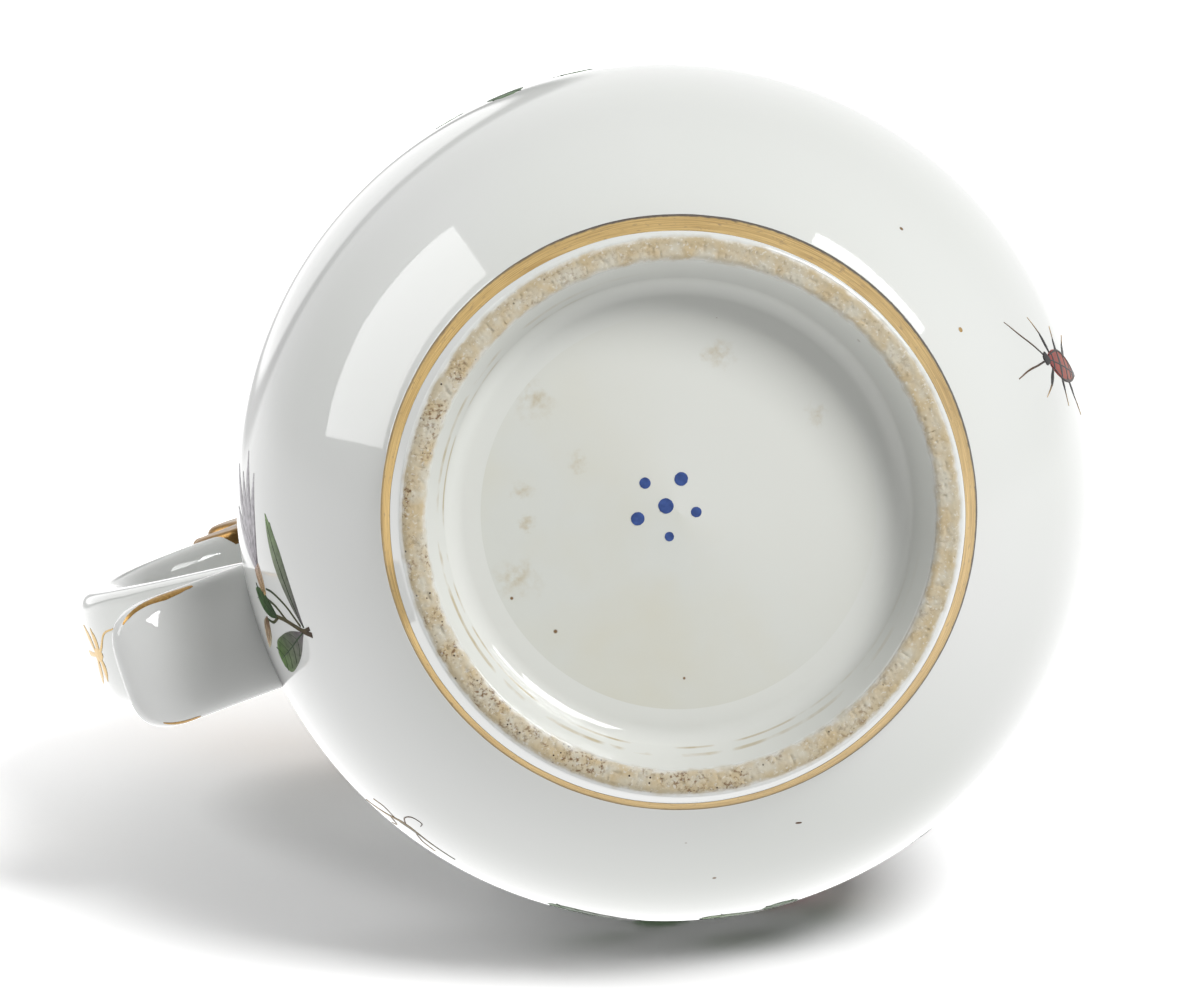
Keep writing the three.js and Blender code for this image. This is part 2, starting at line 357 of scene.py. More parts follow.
def foot_profile():
    """The foot ring's section: its outer wall, and its inner wall with the soft corner to the base."""
    low, corner = 0.85, 22.3
    slope = 2 * RECESS_SAG * SEAM / RECESS_FLAT ** 2
    outer = rounded([
        (BARE_OUT - 0.35, low - 0.5, 0),
        (BARE_OUT + 0.2, low - 0.4, 0.4),
        (BARE_OUT + 0.6, low + 0.7, 1.2),
        (FOOT_OUT - 0.1, FOOT_TOP - 0.5, 0.9),
        (FOOT_OUT + 0.1, FOOT_TOP + 0.25, 0.4),
        (FOOT_OUT + 1.1, FOOT_TOP + 1.3, 0),
    ], 0.1)
    inner = rounded([
        (FOOT_OUT - 0.4, FOOT_TOP + 2.2, 0),
        (SEAM, FOOT_TOP + 2.4, 0),
        (SEAM, base_height(SEAM), 0),
        (corner, base_height(SEAM) + slope * (corner - SEAM), 1.9),
        (BARE_IN - 0.1, low - 0.1, 0.4),
        (BARE_IN + 0.4, low - 0.45, 0),
    ], 0.15)
    return np.concatenate([outer, inner])


def bare_profile():
    return rounded([
        (BARE_IN + 0.2, BARE_TOP, 0),
        (BARE_IN, 0.5, 0.25),
        (BARE_IN + 0.5, 0.0, 0.5),
        (BARE_OUT - 0.5, 0.0, 0.5),
        (BARE_OUT, 0.5, 0.25),
        (BARE_OUT - 0.1, BARE_TOP, 0),
    ], 0.08)


def gritty(points):
    """Grit and small pits on the bare clay, which fade out where the glaze begins."""
    x, y, z = points[..., 0], points[..., 1], points[..., 2]
    around, radius = np.arctan2(y, x) * BARE_OUT + 100, np.hypot(x, y)
    fine = noise2(3, around * 4.2, radius * 4.2 + z * 3) - 0.5
    crumbs = noise2(4, around * 1.6, radius * 1.6) - 0.5
    pits = np.clip(noise2(5, around * 2.7, radius * 2.7) - 0.72, 0, None)
    to_edge = np.minimum(radius - BARE_IN, BARE_OUT - radius)
    strength = np.clip(to_edge / 0.5, 0, 1) ** 2 * (z < 0.4)
    moved = points.copy()
    moved[..., 2] = np.maximum(z + strength * (0.05 + fine * 0.09 + crumbs * 0.03 + pits * 0.6), 0)
    return moved


def make_foot():
    ring = turned("foot_ring_porcelain", foot_profile())
    bare_line = resample(bare_profile(), 0.12)
    bare = turned("unglazed_rim_clay", bare_line, columns=1200, change=gritty)
    return ring, bare


GILT_COLUMNS = 720
GILT_OUT = FOOT_OUT + 0.08
GILT_NARROW = 154  # the brush held closer to the belly on this side, in degrees from the lip


def film(name, front, back, uv):
    """A closed ring of gilding from its front and back sheets, which share their uvs."""
    points = np.concatenate([front, back[::-1]])
    uvs = np.concatenate([uv, uv[::-1]])
    faces = grid_faces(len(points), points.shape[1], wrap_rows=True, wrap_columns=True)
    return build(name, placed(points).reshape(-1, 3), faces, uvs.reshape(-1, 2))


def gilt_band():
    """Gilding on the foot's outer wall, a film whose lower edge wanders as the brush did."""
    line = resample(foot_profile(), 0.05)
    line = line[(line[:, 0] > BARE_OUT + 0.2) & (line[:, 1] < FOOT_TOP + 1)]
    normal = right_of(tangents(line))
    angles = np.arange(GILT_COLUMNS) * 2 * np.pi / GILT_COLUMNS
    wander = 0.05 * (noise2(8, angles * 9, 0 * angles) - 0.5)
    inner = FOOT_OUT - 1.05 + 0.41 * np.cos(angles - math.radians(GILT_NARROW)) + wander
    outer = GILT_OUT + 0.03 * (noise2(9, angles * 14, 0 * angles) - 0.5)
    across = np.linspace(0, 1, 15)[:, None]
    radius = inner * (1 - across) + outer * across
    steps = np.arange(len(line))
    at = np.interp(radius, line[:, 0], steps)
    height = np.interp(at, steps, line[:, 1])
    lean_out, lean_up = np.interp(at, steps, normal[:, 0]), np.interp(at, steps, normal[:, 1])
    sheets = []
    for lift in (0.03, -0.06):
        r, z = radius + lean_out * lift, height + lean_up * lift
        sheets.append(np.stack([r * np.cos(angles), r * np.sin(angles), z], 2))
    uv = np.stack([angles / (2 * np.pi) + 0 * across, across + 0 * angles], 2)
    return film("gilt_foot_band_gold", *sheets, uv)


def gilt_rim():
    """Gilding over the mouth's rounded edge, on the body and the lip alike."""
    profile = body_profile()
    wanted = np.flatnonzero(profile[:, 1] > TOP - 1.7)
    line = profile[wanted]
    cut = int(np.argmax(profile[:, 1])) - wanted[0] + 1
    normal = right_of(tangents(line))
    sheets = []
    for lift in (0.06, -0.04):
        points = turned_points(line + normal * lift)[0]
        sheets.append(np.concatenate([draw_out(points[:cut]), draw_out(points[cut:], BEAK_INNER)]))
    uv = np.stack(np.meshgrid(np.linspace(0, 1, COLUMNS), np.linspace(0, 1, len(line))), 2)
    return film("gilt_rim_gold", *sheets, uv)


# ---------- handle ----------
STRAP_LINE = [
    (38.5, 36.5), (43.2, 44), (49, 54.5), (54, 64.5), (57.9, 75), (58.4, 85),
    (54.5, 94), (47, 98.8), (38, 99.6), (30, 97.6), (25.5, 95.6),
]


def between(t, start, end, first, last):
    """The point at t on the way from first, at start, to last, at end."""
    return (end - t) / (end - start) * first + (t - start) / (end - start) * last


def catmull(points, count):
    """A centripetal Catmull-Rom curve, such as the frame's strap follows."""
    points = np.array(points, float)
    padded = np.concatenate([[2 * points[0] - points[1]], points, [2 * points[-1] - points[-2]]])
    out = []
    for i in range(len(points) - 1):
        p = padded[i:i + 4]
        knots = np.r_[0, np.cumsum(np.linalg.norm(np.diff(p, axis=0), axis=1) ** 0.5)]
        t = np.linspace(knots[1], knots[2], count, endpoint=False)[:, None]
        a = [between(t, knots[k], knots[k + 1], p[k], p[k + 1]) for k in range(3)]
        b = [between(t, knots[k], knots[k + 2], a[k], a[k + 1]) for k in range(2)]
        out.append(between(t, knots[1], knots[2], b[0], b[1]))
    return np.concatenate(out + [points[-1:]])


STRAP_THICK, STRAP_SQUARENESS = 3.1, 3.2
STRAP_STEP, STRAP_COLUMNS, STRAP_GIRTH = 0.5, 48, 34


def strap_frame():
    """Points, outward directions, distances, half-widths and half-thicknesses along the strap."""
    line = resample(catmull(STRAP_LINE, 24), STRAP_STEP)
    out = right_of(tangents(line))
    share = np.linspace(0, 1, len(line))
    length = len(line) * STRAP_STEP
    # it swells where it is luted on
    ends = np.exp(-((1 - share) * length / 3.5) ** 2) + np.exp(-(share * length / 4) ** 2)
    waist = 1 - 0.05 * np.sin(np.pi * share) ** 2
    wide, thick = STRAP_HALF * waist + 0.7 * ends, STRAP_THICK + 0.9 * ends
    return line, out, np.arange(len(line)) * STRAP_STEP, wide, thick


def tube_faces(rows, columns):
    """The faces of a tube of rings, with one face to close each end."""
    faces = grid_faces(rows, columns, wrap_columns=True)
    faces.append(tuple(range(columns)))
    faces.append(tuple((rows - 1) * columns + j for j in range(columns)))
    return faces


def capped(name, grid, uv):
    """A tube from rows of ring points, closed at each end."""
    return build(name, placed(grid).reshape(-1, 3), tube_faces(*grid.shape[:2]), uv.reshape(-1, 2))


def make_strap():
    line, out, at, wide, thick = strap_frame()
    turns = np.linspace(0, 2 * np.pi, STRAP_COLUMNS, endpoint=False)
    across, through = squared_circle(turns, STRAP_SQUARENESS)
    through = through * thick[:, None]
    x = -(line[:, :1] + out[:, :1] * through)
    z = line[:, 1:] + out[:, 1:] * through
    grid = np.stack([x, across * wide[:, None], z], 2)
    uv = np.stack(np.meshgrid(np.linspace(0, 1, STRAP_COLUMNS) * STRAP_GIRTH, at), 2) * MM
    return capped("handle_strap_porcelain", grid, uv)



TONGUE_ROOT, TONGUE_THICK, TONGUE_CORNER, TONGUE_SQUARENESS = 38.0, 5.8, 5.0, 3.0
TONGUE_TOP, TONGUE_FALL, TONGUE_BEND = 42.6, 0.2, 0.012


def tongue_points(outs, turns, lift=0.0):
    """Rows of points round the tongue, at some distances from the axis and angles of its section."""
    across, through = squared_circle(turns, TONGUE_SQUARENESS)
    rows = []
    for out in outs:
        left = min(max(0.0, (out - TONGUE_TIP + TONGUE_CORNER) / TONGUE_CORNER), 0.9999)
        wide = TONGUE_HALF - TONGUE_CORNER * (1 - (1 - left ** 2.7) ** (1 / 2.7)) + lift
        thick = TONGUE_THICK / 2 * (1 - left ** 2.3) ** (1 / 2.3) + lift
        run = out - TONGUE_ROOT
        middle = TONGUE_TOP - TONGUE_THICK / 2 - TONGUE_FALL * run - TONGUE_BEND * run ** 2
        slope = math.atan(TONGUE_FALL + 2 * TONGUE_BEND * run)
        x = -out - through * thick * math.sin(slope)
        rows.append(np.stack([x, across * wide, middle + through * thick * math.cos(slope)], 1))
    return np.array(rows)


def make_tongue():
    """The handle's lower end, kicked out into a broad tongue with soft corners."""
    straight = np.linspace(TONGUE_ROOT, TONGUE_TIP - TONGUE_CORNER, 26)
    turning = TONGUE_TIP - TONGUE_CORNER * (1 - np.sin(np.linspace(0, np.pi / 2, 24)[1:]))
    outs = np.r_[straight, turning]
    grid = tongue_points(outs, np.linspace(0, 2 * np.pi, 64, endpoint=False))
    uv = np.stack(np.meshgrid(np.linspace(0, 30, 64), outs), 2) * MM
    return capped("handle_tongue_porcelain", grid, uv)


def tongue_line(name, side, start, length, width):
    """Gilding along the tongue's lower edge on one side, from a distance short of its tip."""
    centre = -0.33 if side > 0 else math.pi + 0.33
    outs = np.linspace(TONGUE_TIP - start - length, TONGUE_TIP - start, 60)
    ends = np.sin(np.linspace(0.05, np.pi - 0.05, 60)) ** 0.5
    uneven = 0.75 + 0.5 * noise2(12, outs * 1.3, 0 * outs)
    rows = []
    for i, out in enumerate(outs):
        turns = centre + width * ends[i] * uneven[i] * np.linspace(-1, 1, 9)
        front, back = tongue_points([out], turns, 0.03)[0], tongue_points([out], turns[::-1], -0.05)[0]
        rows.append(np.concatenate([front, back]))
    across = np.r_[np.linspace(0, 1, 9), np.linspace(1, 0, 9)]
    uv = np.stack(np.meshgrid(across, np.linspace(0, 1, 60)), 2)[..., ::-1]
    return capped(name, np.array(rows), uv)


def make_thumb():
    """The scrolled thumb rest: a drawn outline given width, with soft edges."""
    pieces = [
        ((-30.6, 98.0), (-32, 107), (-37, 106), (-39.5, 112)),
        ((-39.5, 112), (-41, 116.5), (-46.5, 117), (-47, 113.2)),
        ((-47, 113.2), (-47.2, 110.6), (-43.6, 110.8), (-43.4, 107.8)),
        ((-43.4, 107.8), (-43.3, 104.5), (-46, 104), (-48.6, 102.2)),
        ((-48.6, 102.2), (-48.2, 99.5), (-46, 97.8), (-44, 96.9)),
        ((-44, 96.9), (-39, 97.6), (-35, 97.6), (-30.6, 98.0)),
    ]
    outline = np.concatenate([bezier(*p, 14)[:-1] for p in pieces])
    count = len(outline)
    after, before = np.roll(outline, -1, 0), np.roll(outline, 1, 0)
    along = after - before
    along /= np.linalg.norm(along, axis=1)[:, None]
    inward = right_of(along)
    area = np.sum(outline[:, 0] * after[:, 1] - after[:, 0] * outline[:, 1])
    if area > 0:
        inward = -inward
    half, edge = (thumb_high[1] - thumb_low[1]) / 2, 1.0
    rows = []
    turns = np.linspace(0, np.pi / 2, 6)
    ys = [(-half + edge - edge * math.cos(a), edge * (1 - math.sin(a))) for a in turns]
    ys += [(half - edge + edge * math.sin(a), edge * (1 - math.cos(a))) for a in turns]
    for y, inset in ys:
        flat = outline + inward * inset
        rows.append(np.stack([flat[:, 0], np.full(count, y), flat[:, 1]], 1))
    grid = np.array(rows)
    uv = np.stack(np.meshgrid(np.linspace(0, 0.4, count), np.linspace(0, 4, len(rows))), 2)
    return capped("thumb_scroll_gold", grid, uv)


# ---------- painted decoration ----------
OUTSIDE = wall_curve(0, BELLY_START)
OUTSIDE_AT, OUTSIDE_ALONG = distances(OUTSIDE), tangents(OUTSIDE)
ACROSS = np.array([-1, -0.6, -0.2, 0.2, 0.6, 1])  # points across a brush stroke, in half-widths
FILM, LAYER, CROWN = 0.03, 0.012, 0.02  # how far paint stands off the glaze, and how round a stroke is
SUNK, FINEST = 0.05, 0.015  # how deep a stroke's back lies in the glaze, and the least half-width


def on_wall(angle, height):
    """The jug's outer face about a place, as a surface to paint: (round, up) millimetres to points."""
    start = np.interp(height, OUTSIDE[:, 1], OUTSIDE_AT)

    def surface(flat, lift):
        along = start + flat[..., 1]
        radius, z, rise_out, rise_up = [
            np.interp(along, OUTSIDE_AT, values) for values in (*OUTSIDE.T, *OUTSIDE_ALONG.T)
        ]
        turn = math.radians(angle) + flat[..., 0] / radius
        radius = radius + rise_up * lift
        points = np.stack([radius * np.cos(turn), radius * np.sin(turn), z - rise_out * lift], -1)
        return placed(draw_out(points))

    return surface


def on_base(flat, lift):
    """The base inside the foot, as seen from below with the lip to the right."""
    x, y = flat[..., 0], -flat[..., 1]
    return placed(np.stack([x, y, base_height(np.hypot(x, y)) - lift], -1))


def on_strap(distance):
    """The strap's outer face about a place along it."""
    line, out, at, wide, thick = strap_frame()

    def surface(flat, lift):
        along = distance + flat[..., 1]
        far, up, out_far, out_up, half, deep = [
            np.interp(along, at, values) for values in (*line.T, *out.T, wide, thick)
        ]
        edge = np.clip(np.abs(flat[..., 0]) / half, 0, 0.98)
        deep = deep * (1 - edge ** STRAP_SQUARENESS) ** (1 / STRAP_SQUARENESS) + lift
        return placed(np.stack([-(far + out_far * deep), flat[..., 0], up + out_up * deep], -1))

    return surface


class Painting:
    """Brush strokes on a surface, gathered into one piece. Each is a thin closed film of its own."""

    def __init__(self, surface):
        self.surface = surface
        self.points, self.faces, self.uvs, self.colours = [], [], [], []
        self.count = 0

    def stroke(self, spine, first, last, layer):
        """A stroke along (x, y, half-width) points, shading from the first colour to the last."""
        line = catmull(spine, 6)
        centre, half = line[:, :2], np.maximum(line[:, 2], FINEST)[:, None]
        side = right_of(tangents(centre))
        around = np.r_[ACROSS, ACROSS[::-1]]
        flat = centre[:, None] + side[:, None] * (half * around)[..., None]
        top = FILM + LAYER * layer + CROWN * (1 - ACROSS ** 2)
        lift = np.r_[top, np.full(len(ACROSS), -SUNK)] + 0 * half
        rows, columns = lift.shape
        share = np.linspace(0, 1, rows)[:, None, None]
        shade = np.array(first) * (1 - share) + np.array(last) * share + np.zeros((1, columns, 1))
        self.faces += [tuple(k + self.count for k in face) for face in tube_faces(rows, columns)]
        self.points.append(self.surface(flat, lift).reshape(-1, 3))
        self.uvs.append(np.stack([share[..., 0] + 0 * lift, around + 0 * lift], 2).reshape(-1, 2))
        self.colours.append(shade.reshape(-1, 3))
        self.count += rows * columns

    def finish(self, name):
        shades = np.concatenate(self.colours)
        return build(name, np.concatenate(self.points), self.faces, np.concatenate(self.uvs), shades)


class Spot:
    """A place in a painting with its own direction (+y) and size, to draw a motif at."""

    def __init__(self, painting, middle=(0.0, 0.0), turn=0.0, size=1.0):
        self.painting, self.turn, self.size = painting, turn, size
        self.middle = np.array(middle, float)
        c, s = math.cos(math.radians(turn)), math.sin(math.radians(turn))
        self.axes = np.array([[c, s], [-s, c]]) * size

    def at(self, x=0.0, y=0.0, turn=0.0, size=1.0):
        middle = self.middle + np.array([x, y]) @ self.axes
        return Spot(self.painting, middle, self.turn + turn, self.size * size)

    def stroke(self, spine, first, last=None, layer=0):
        moved = np.array(spine, float)
        moved[:, :2] = self.middle + moved[:, :2] @ self.axes
        moved[:, 2] *= self.size
        self.painting.stroke(moved, first, first if last is None else last, layer)

    def pair(self, spine, first, last=None, layer=0):
        """The same stroke on the left and on the right of the motif."""
        for side in (-1, 1):
            self.stroke([(side * x, y, half) for x, y, half in spine], first, last, layer)

    def dot(self, x, y, radius, shade, layer=0):
        turns = (-1.0, -0.8, -0.45, 0.0, 0.45, 0.8, 1.0)
        spine = [(x + radius * t, y, radius * math.sqrt(max(0.0, 1 - t * t))) for t in turns]
        self.stroke(spine, shade, layer=layer)


BLACK, DARK_BROWN, BROWN = (0.010, 0.008, 0.008), (0.06, 0.032, 0.016), (0.16, 0.085, 0.04)
RUST, RED, DARK_RED = (0.36, 0.085, 0.03), (0.28, 0.018, 0.016), (0.50, 0.10, 0.12)
CRIMSON, ROSE, BLUSH = (0.33, 0.012, 0.055), (0.62, 0.13, 0.19), (0.78, 0.44, 0.46)
LEAF_DARK, LEAF = (0.025, 0.055, 0.018), (0.07, 0.16, 0.045)
LEAF_PALE, LEAF_BRIGHT = (0.22, 0.34, 0.13), (0.13, 0.24, 0.06)
VIOLET_GREY, LILAC, STEM = (0.15, 0.125, 0.145), (0.52, 0.49, 0.54), (0.085, 0.078, 0.03)
PETAL_GREY, PETAL_PALE = (0.40, 0.37, 0.41), (0.70, 0.69, 0.71)
OCHRE, AMBER, YELLOW = (0.52, 0.34, 0.14), (0.60, 0.34, 0.05), (0.78, 0.56, 0.12)
CREAM, BUFF, ORANGE = (0.80, 0.72, 0.50), (0.62, 0.46, 0.38), (0.62, 0.30, 0.10)
BLUE, SKY, PURPLE = (0.035, 0.06, 0.24), (0.30, 0.40, 0.66), (0.16, 0.05, 0.22)
UNDERGLAZE = (0.055, 0.10, 0.30)


def leaf(spot, length, width, first=LEAF_DARK, last=LEAF, bend=0.0, blunt=0.3, veins=4):
    """A leaf growing along +y: its blade, a shaded half, a midrib and side veins."""
    def along(t, half, side=0.0):
        return (bend * length * t * t + side, length * t, half)

    half = width / 2
    blade = [(0, 0.08), (0.3, 0.75), (0.62, 1.0), (0.86, 0.55 + blunt)]
    spot.stroke([along(t, share * half) for t, share in blade] + [along(1, 0.05 + blunt * half)], first, last)
    shaded = [(t, share * half) for t, share in ((0.32, 0.36), (0.62, 0.46), (0.9, 0.3))]
    spot.stroke([along(0.03, 0.03, 0.04)] + [along(t, near, near) for t, near in shaded],
                first, [0.7 * v for v in last], layer=1)
    spot.stroke([along(0, 0.09), along(0.5, 0.07), along(0.95, 0.03)], LEAF_DARK, layer=2)
    for i in range(veins):
        t = 0.2 + 0.6 * i / max(1, veins - 1)
        reach = half * (0.55 + 0.35 * math.sin(math.pi * t))
        for side in (-1, 1):
            root, tip = along(t, 0.045), along(min(0.96, t + 0.16), 0.015, side * reach)
            middle = along(t + 0.06, 0.035, side * reach * 0.5)
            spot.stroke([root, middle, tip], LEAF_DARK, layer=2)


def stem(spot, points, thick=0.16, first=STEM, last=LEAF_DARK):
    """A stem through points, which thins towards its end."""
    spine = [(x, y, thick * (1 - 0.35 * i / len(points))) for i, (x, y) in enumerate(points)]
    spot.stroke(spine, first, last)


def bloom(spot, radius, petals, heart, edge, eye=YELLOW):
    """An open flower seen from the front: notched petals with fine lines, round a dotted eye."""
    dark = [0.6 * v for v in heart]
    lobe = [(0, 0.1, 0.16), (0.3, 0.5, 0.55), (0.42, 0.78, 0.5), (0.42, 1.0, 0.12)]
    rim = [(0.3, 0.3), (0.82, 0.55), (0.93, 0.8), (0.5, 1.0)]
    for i in range(petals):
        petal = spot.at(0, 0, 360 * i / petals + 7 * math.sin(3 * i))
        reach = radius * (1 + 0.1 * math.cos(5 * i))
        broad = reach * math.sin(math.pi / petals) * 0.98
        petal.pair([(x * broad, y * reach, half * broad) for x, y, half in lobe], heart, edge, layer=i % 2)
        petal.pair([(x * broad, y * reach, 0.035) for x, y in rim], dark, edge, layer=2)
        for lean in (-0.45, -0.15, 0.15, 0.45):
            line = [(0.4, 0.18, 0.05), (1.1, 0.5, 0.045), (1.5, 0.8, 0.015)]
            petal.stroke([(lean * x * broad, y * reach, half) for x, y, half in line], dark, heart, layer=3)
    for i in range(9):
        out, size = 0.055 * radius * i ** 0.5, 0.055 * radius
        spot.dot(out * math.cos(2.4 * i), out * math.sin(2.4 * i), size, BROWN if i % 3 == 0 else eye, layer=4)


ROSE_RINGS = [(7, 1.0, 0.52), (6, 0.74, 0.42), (5, 0.50, 0.30), (3, 0.28, 0.2)]  # petals, reach, half-width


def rose(spot, radius, deep=CRIMSON, middle=ROSE, pale=BLUSH):
    """A full rose: rings of cupped petals, each shaded with fine curved lines."""
    for ring, (count, reach, broad) in enumerate(ROSE_RINGS):
        first, last = middle if ring < 3 else deep, pale if ring < 2 else middle
        cup = [(0, 0.12, 0.1), (0.04, 0.55, 0.8), (0, 0.85, 1.0), (-0.02, 1.0, 0.45)]
        for i in range(count):
            petal = spot.at(0, 0, 360 * (i + 0.5 * (ring % 2)) / count + 9 * math.sin(2 * i + ring), radius)
            petal.stroke([(x, y * reach, half * broad) for x, y, half in cup], first, last, ring * 2 + i % 2)
            for k in range(5):
                lean = (k - 2) / 2.6
                line = [(0.25, 0.3, 0.008), (0.75, 0.6, 0.012), (1.0, 0.92 - 0.08 * lean ** 2, 0.003)]
                petal.stroke([(lean * x * broad, y * reach, half) for x, y, half in line],
                             deep, middle, layer=ring * 2 + 2)


def beetle(spot):
    """A slim banded beetle, head along +y, with its neck at the spot."""
    spot.pair([(0.25, 1.1, 0.1), (1.0, 3.1, 0.1), (1.9, 5.6, 0.09), (3.0, 7.8, 0.05)], BLACK, BROWN)
    for y, swing in ((-0.5, 1.3), (-2.6, -0.3), (-4.6, -1.5)):
        knee = (2.7, y + swing)
        spot.pair([(0.8, y, 0.16), (1.9, y + 0.6 * swing, 0.3), (*knee, 0.16)], BLACK)
        shin = [(*knee, 0.12), (3.3, y + 1.5 * swing, 0.09), (4.2, y + 2.3 * swing, 0.04)]
        spot.pair(shin, DARK_BROWN, OCHRE)
    body = [(0, 0.1, 0.6), (0, -1.2, 1.25), (0, -3.2, 1.55), (0, -5.6, 1.25), (0, -7.6, 0.5), (0, -8.4, 0.08)]
    spot.stroke(body, RED, RUST, layer=1)
    for y, half, thick in ((-0.95, 1.05, 0.3), (-2.9, 1.45, 0.5), (-4.7, 1.4, 0.32), (-6.2, 1.0, 0.35)):
        spot.stroke([(-half, y + 0.1, 0.1), (0, y - 0.1, thick), (half, y + 0.1, 0.1)], BLACK, layer=2)
    spot.stroke([(0, -6.9, 0.6), (0, -7.7, 0.5), (0, -8.5, 0.1)], BLACK, VIOLET_GREY, layer=2)
    spot.pair([(0.5, 0, 0.07), (1.5, -3.0, 0.12), (1.1, -6.0, 0.12), (0.1, -8.4, 0.06)],
              BLACK, DARK_BROWN, layer=3)
    spot.stroke([(0, 0.15, 0.07), (0, -4, 0.09), (0, -7.6, 0.04)], BLACK, layer=3)
    spot.stroke([(0, -0.1, 0.3), (0, 0.35, 0.5), (0, 0.95, 0.72), (0, 1.6, 0.12)], BLACK, layer=2)


def mantis(spot):
    """A thin greenish insect with long hooked feelers."""
    body = [(5.0, 6.0, 0.05), (2.8, 2.5, 0.2), (0.7, -0.3, 0.3), (-2.4, 0.0, 0.2), (-5.3, 0.3, 0.04)]
    spot.stroke(body, OCHRE, STEM)
    spot.stroke([(1.4, 0.6, 0.1), (0.3, 0.0, 0.24), (-1.6, -0.2, 0.1)], LEAF_DARK, VIOLET_GREY, layer=1)
    hook = [(0.8, -0.3, 0.09), (1.4, -2.2, 0.07), (0.9, -4.3, 0.08), (-0.1, -4.6, 0.07), (-0.3, -3.5, 0.04)]
    spot.stroke(hook, BROWN, DARK_BROWN)
    spot.stroke([(1.6, 0.9, 0.06), (3.6, 0.1, 0.05), (4.8, 1.0, 0.03)], BROWN, OCHRE)
    spot.stroke([(2.4, 1.8, 0.06), (1.2, 3.6, 0.05), (1.6, 5.4, 0.03)], BROWN, OCHRE)
    spot.stroke([(-0.6, 0.1, 0.06), (-1.8, 1.9, 0.05), (-3.4, 2.6, 0.03)], BROWN, OCHRE)


def moth(spot):
    """A moth with spread orange wings, head along +y."""
    spot.pair([(0.2, 0.5, 0.2), (1.8, 1.7, 0.9), (3.6, 2.6, 1.1), (4.6, 2.7, 0.3)], ORANGE, CREAM)
    spot.pair([(0.2, -0.3, 0.2), (1.5, -1.2, 0.9), (2.8, -2.0, 0.8), (3.4, -2.4, 0.2)], CREAM, ORANGE)
    spot.pair([(2.6, 3.3, 0.06), (3.2, 2.2, 0.2), (3.3, 1.2, 0.06)], RUST, layer=1)
    spot.pair([(2.5, -0.9, 0.05), (2.6, -1.8, 0.14), (2.3, -2.8, 0.05)], RUST, layer=1)
    spot.pair([(0.1, 1.4, 0.06), (0.7, 2.6, 0.05), (1.5, 3.4, 0.05)], DARK_BROWN)
    for side in (-1, 1):
        spot.dot(side * 3.7, 2.6, 0.28, DARK_BROWN, layer=2)
        spot.dot(side * 1.7, -1.3, 0.3, YELLOW, layer=2)
    spot.stroke([(0, 1.6, 0.1), (0, 0.8, 0.36), (0, -0.6, 0.32), (0, -2.2, 0.08)], DARK_BROWN, BROWN, layer=3)


def ladybird(spot):
    """A spotted red beetle with six short legs."""
    for y in (0.7, 0.0, -0.7):
        spot.pair([(0.6, y, 0.06), (1.2, y + 0.15, 0.06), (1.6, y - 0.2, 0.04)], BLACK)
    spot.stroke([(0, 1.1, 0.3), (0, 0.3, 0.95), (0, -0.6, 0.95), (0, -1.3, 0.2)], RUST, RED)
    spot.stroke([(0, 1.7, 0.15), (0, 1.3, 0.42), (0, 0.9, 0.45)], BLACK, layer=1)
    for x, y in ((-0.45, 0.35), (0.45, 0.35), (-0.42, -0.5), (0.42, -0.5)):
        spot.dot(x, y, 0.17, BLACK, layer=1)
    spot.stroke([(0, 1.0, 0.04), (0, 0, 0.05), (0, -1.2, 0.03)], BLACK, layer=1)


def fine_lines(spot, places, spread, middle, tip, first, last):
    """Fine lines side by side from near the foot of a petal, through a middle, to a tip."""
    for x in places:
        spine = [(x * 0.5, 0.3, 0.05), (x * spread[0], *middle), (x * spread[1], *tip)]
        spot.stroke(spine, first, last, layer=1)


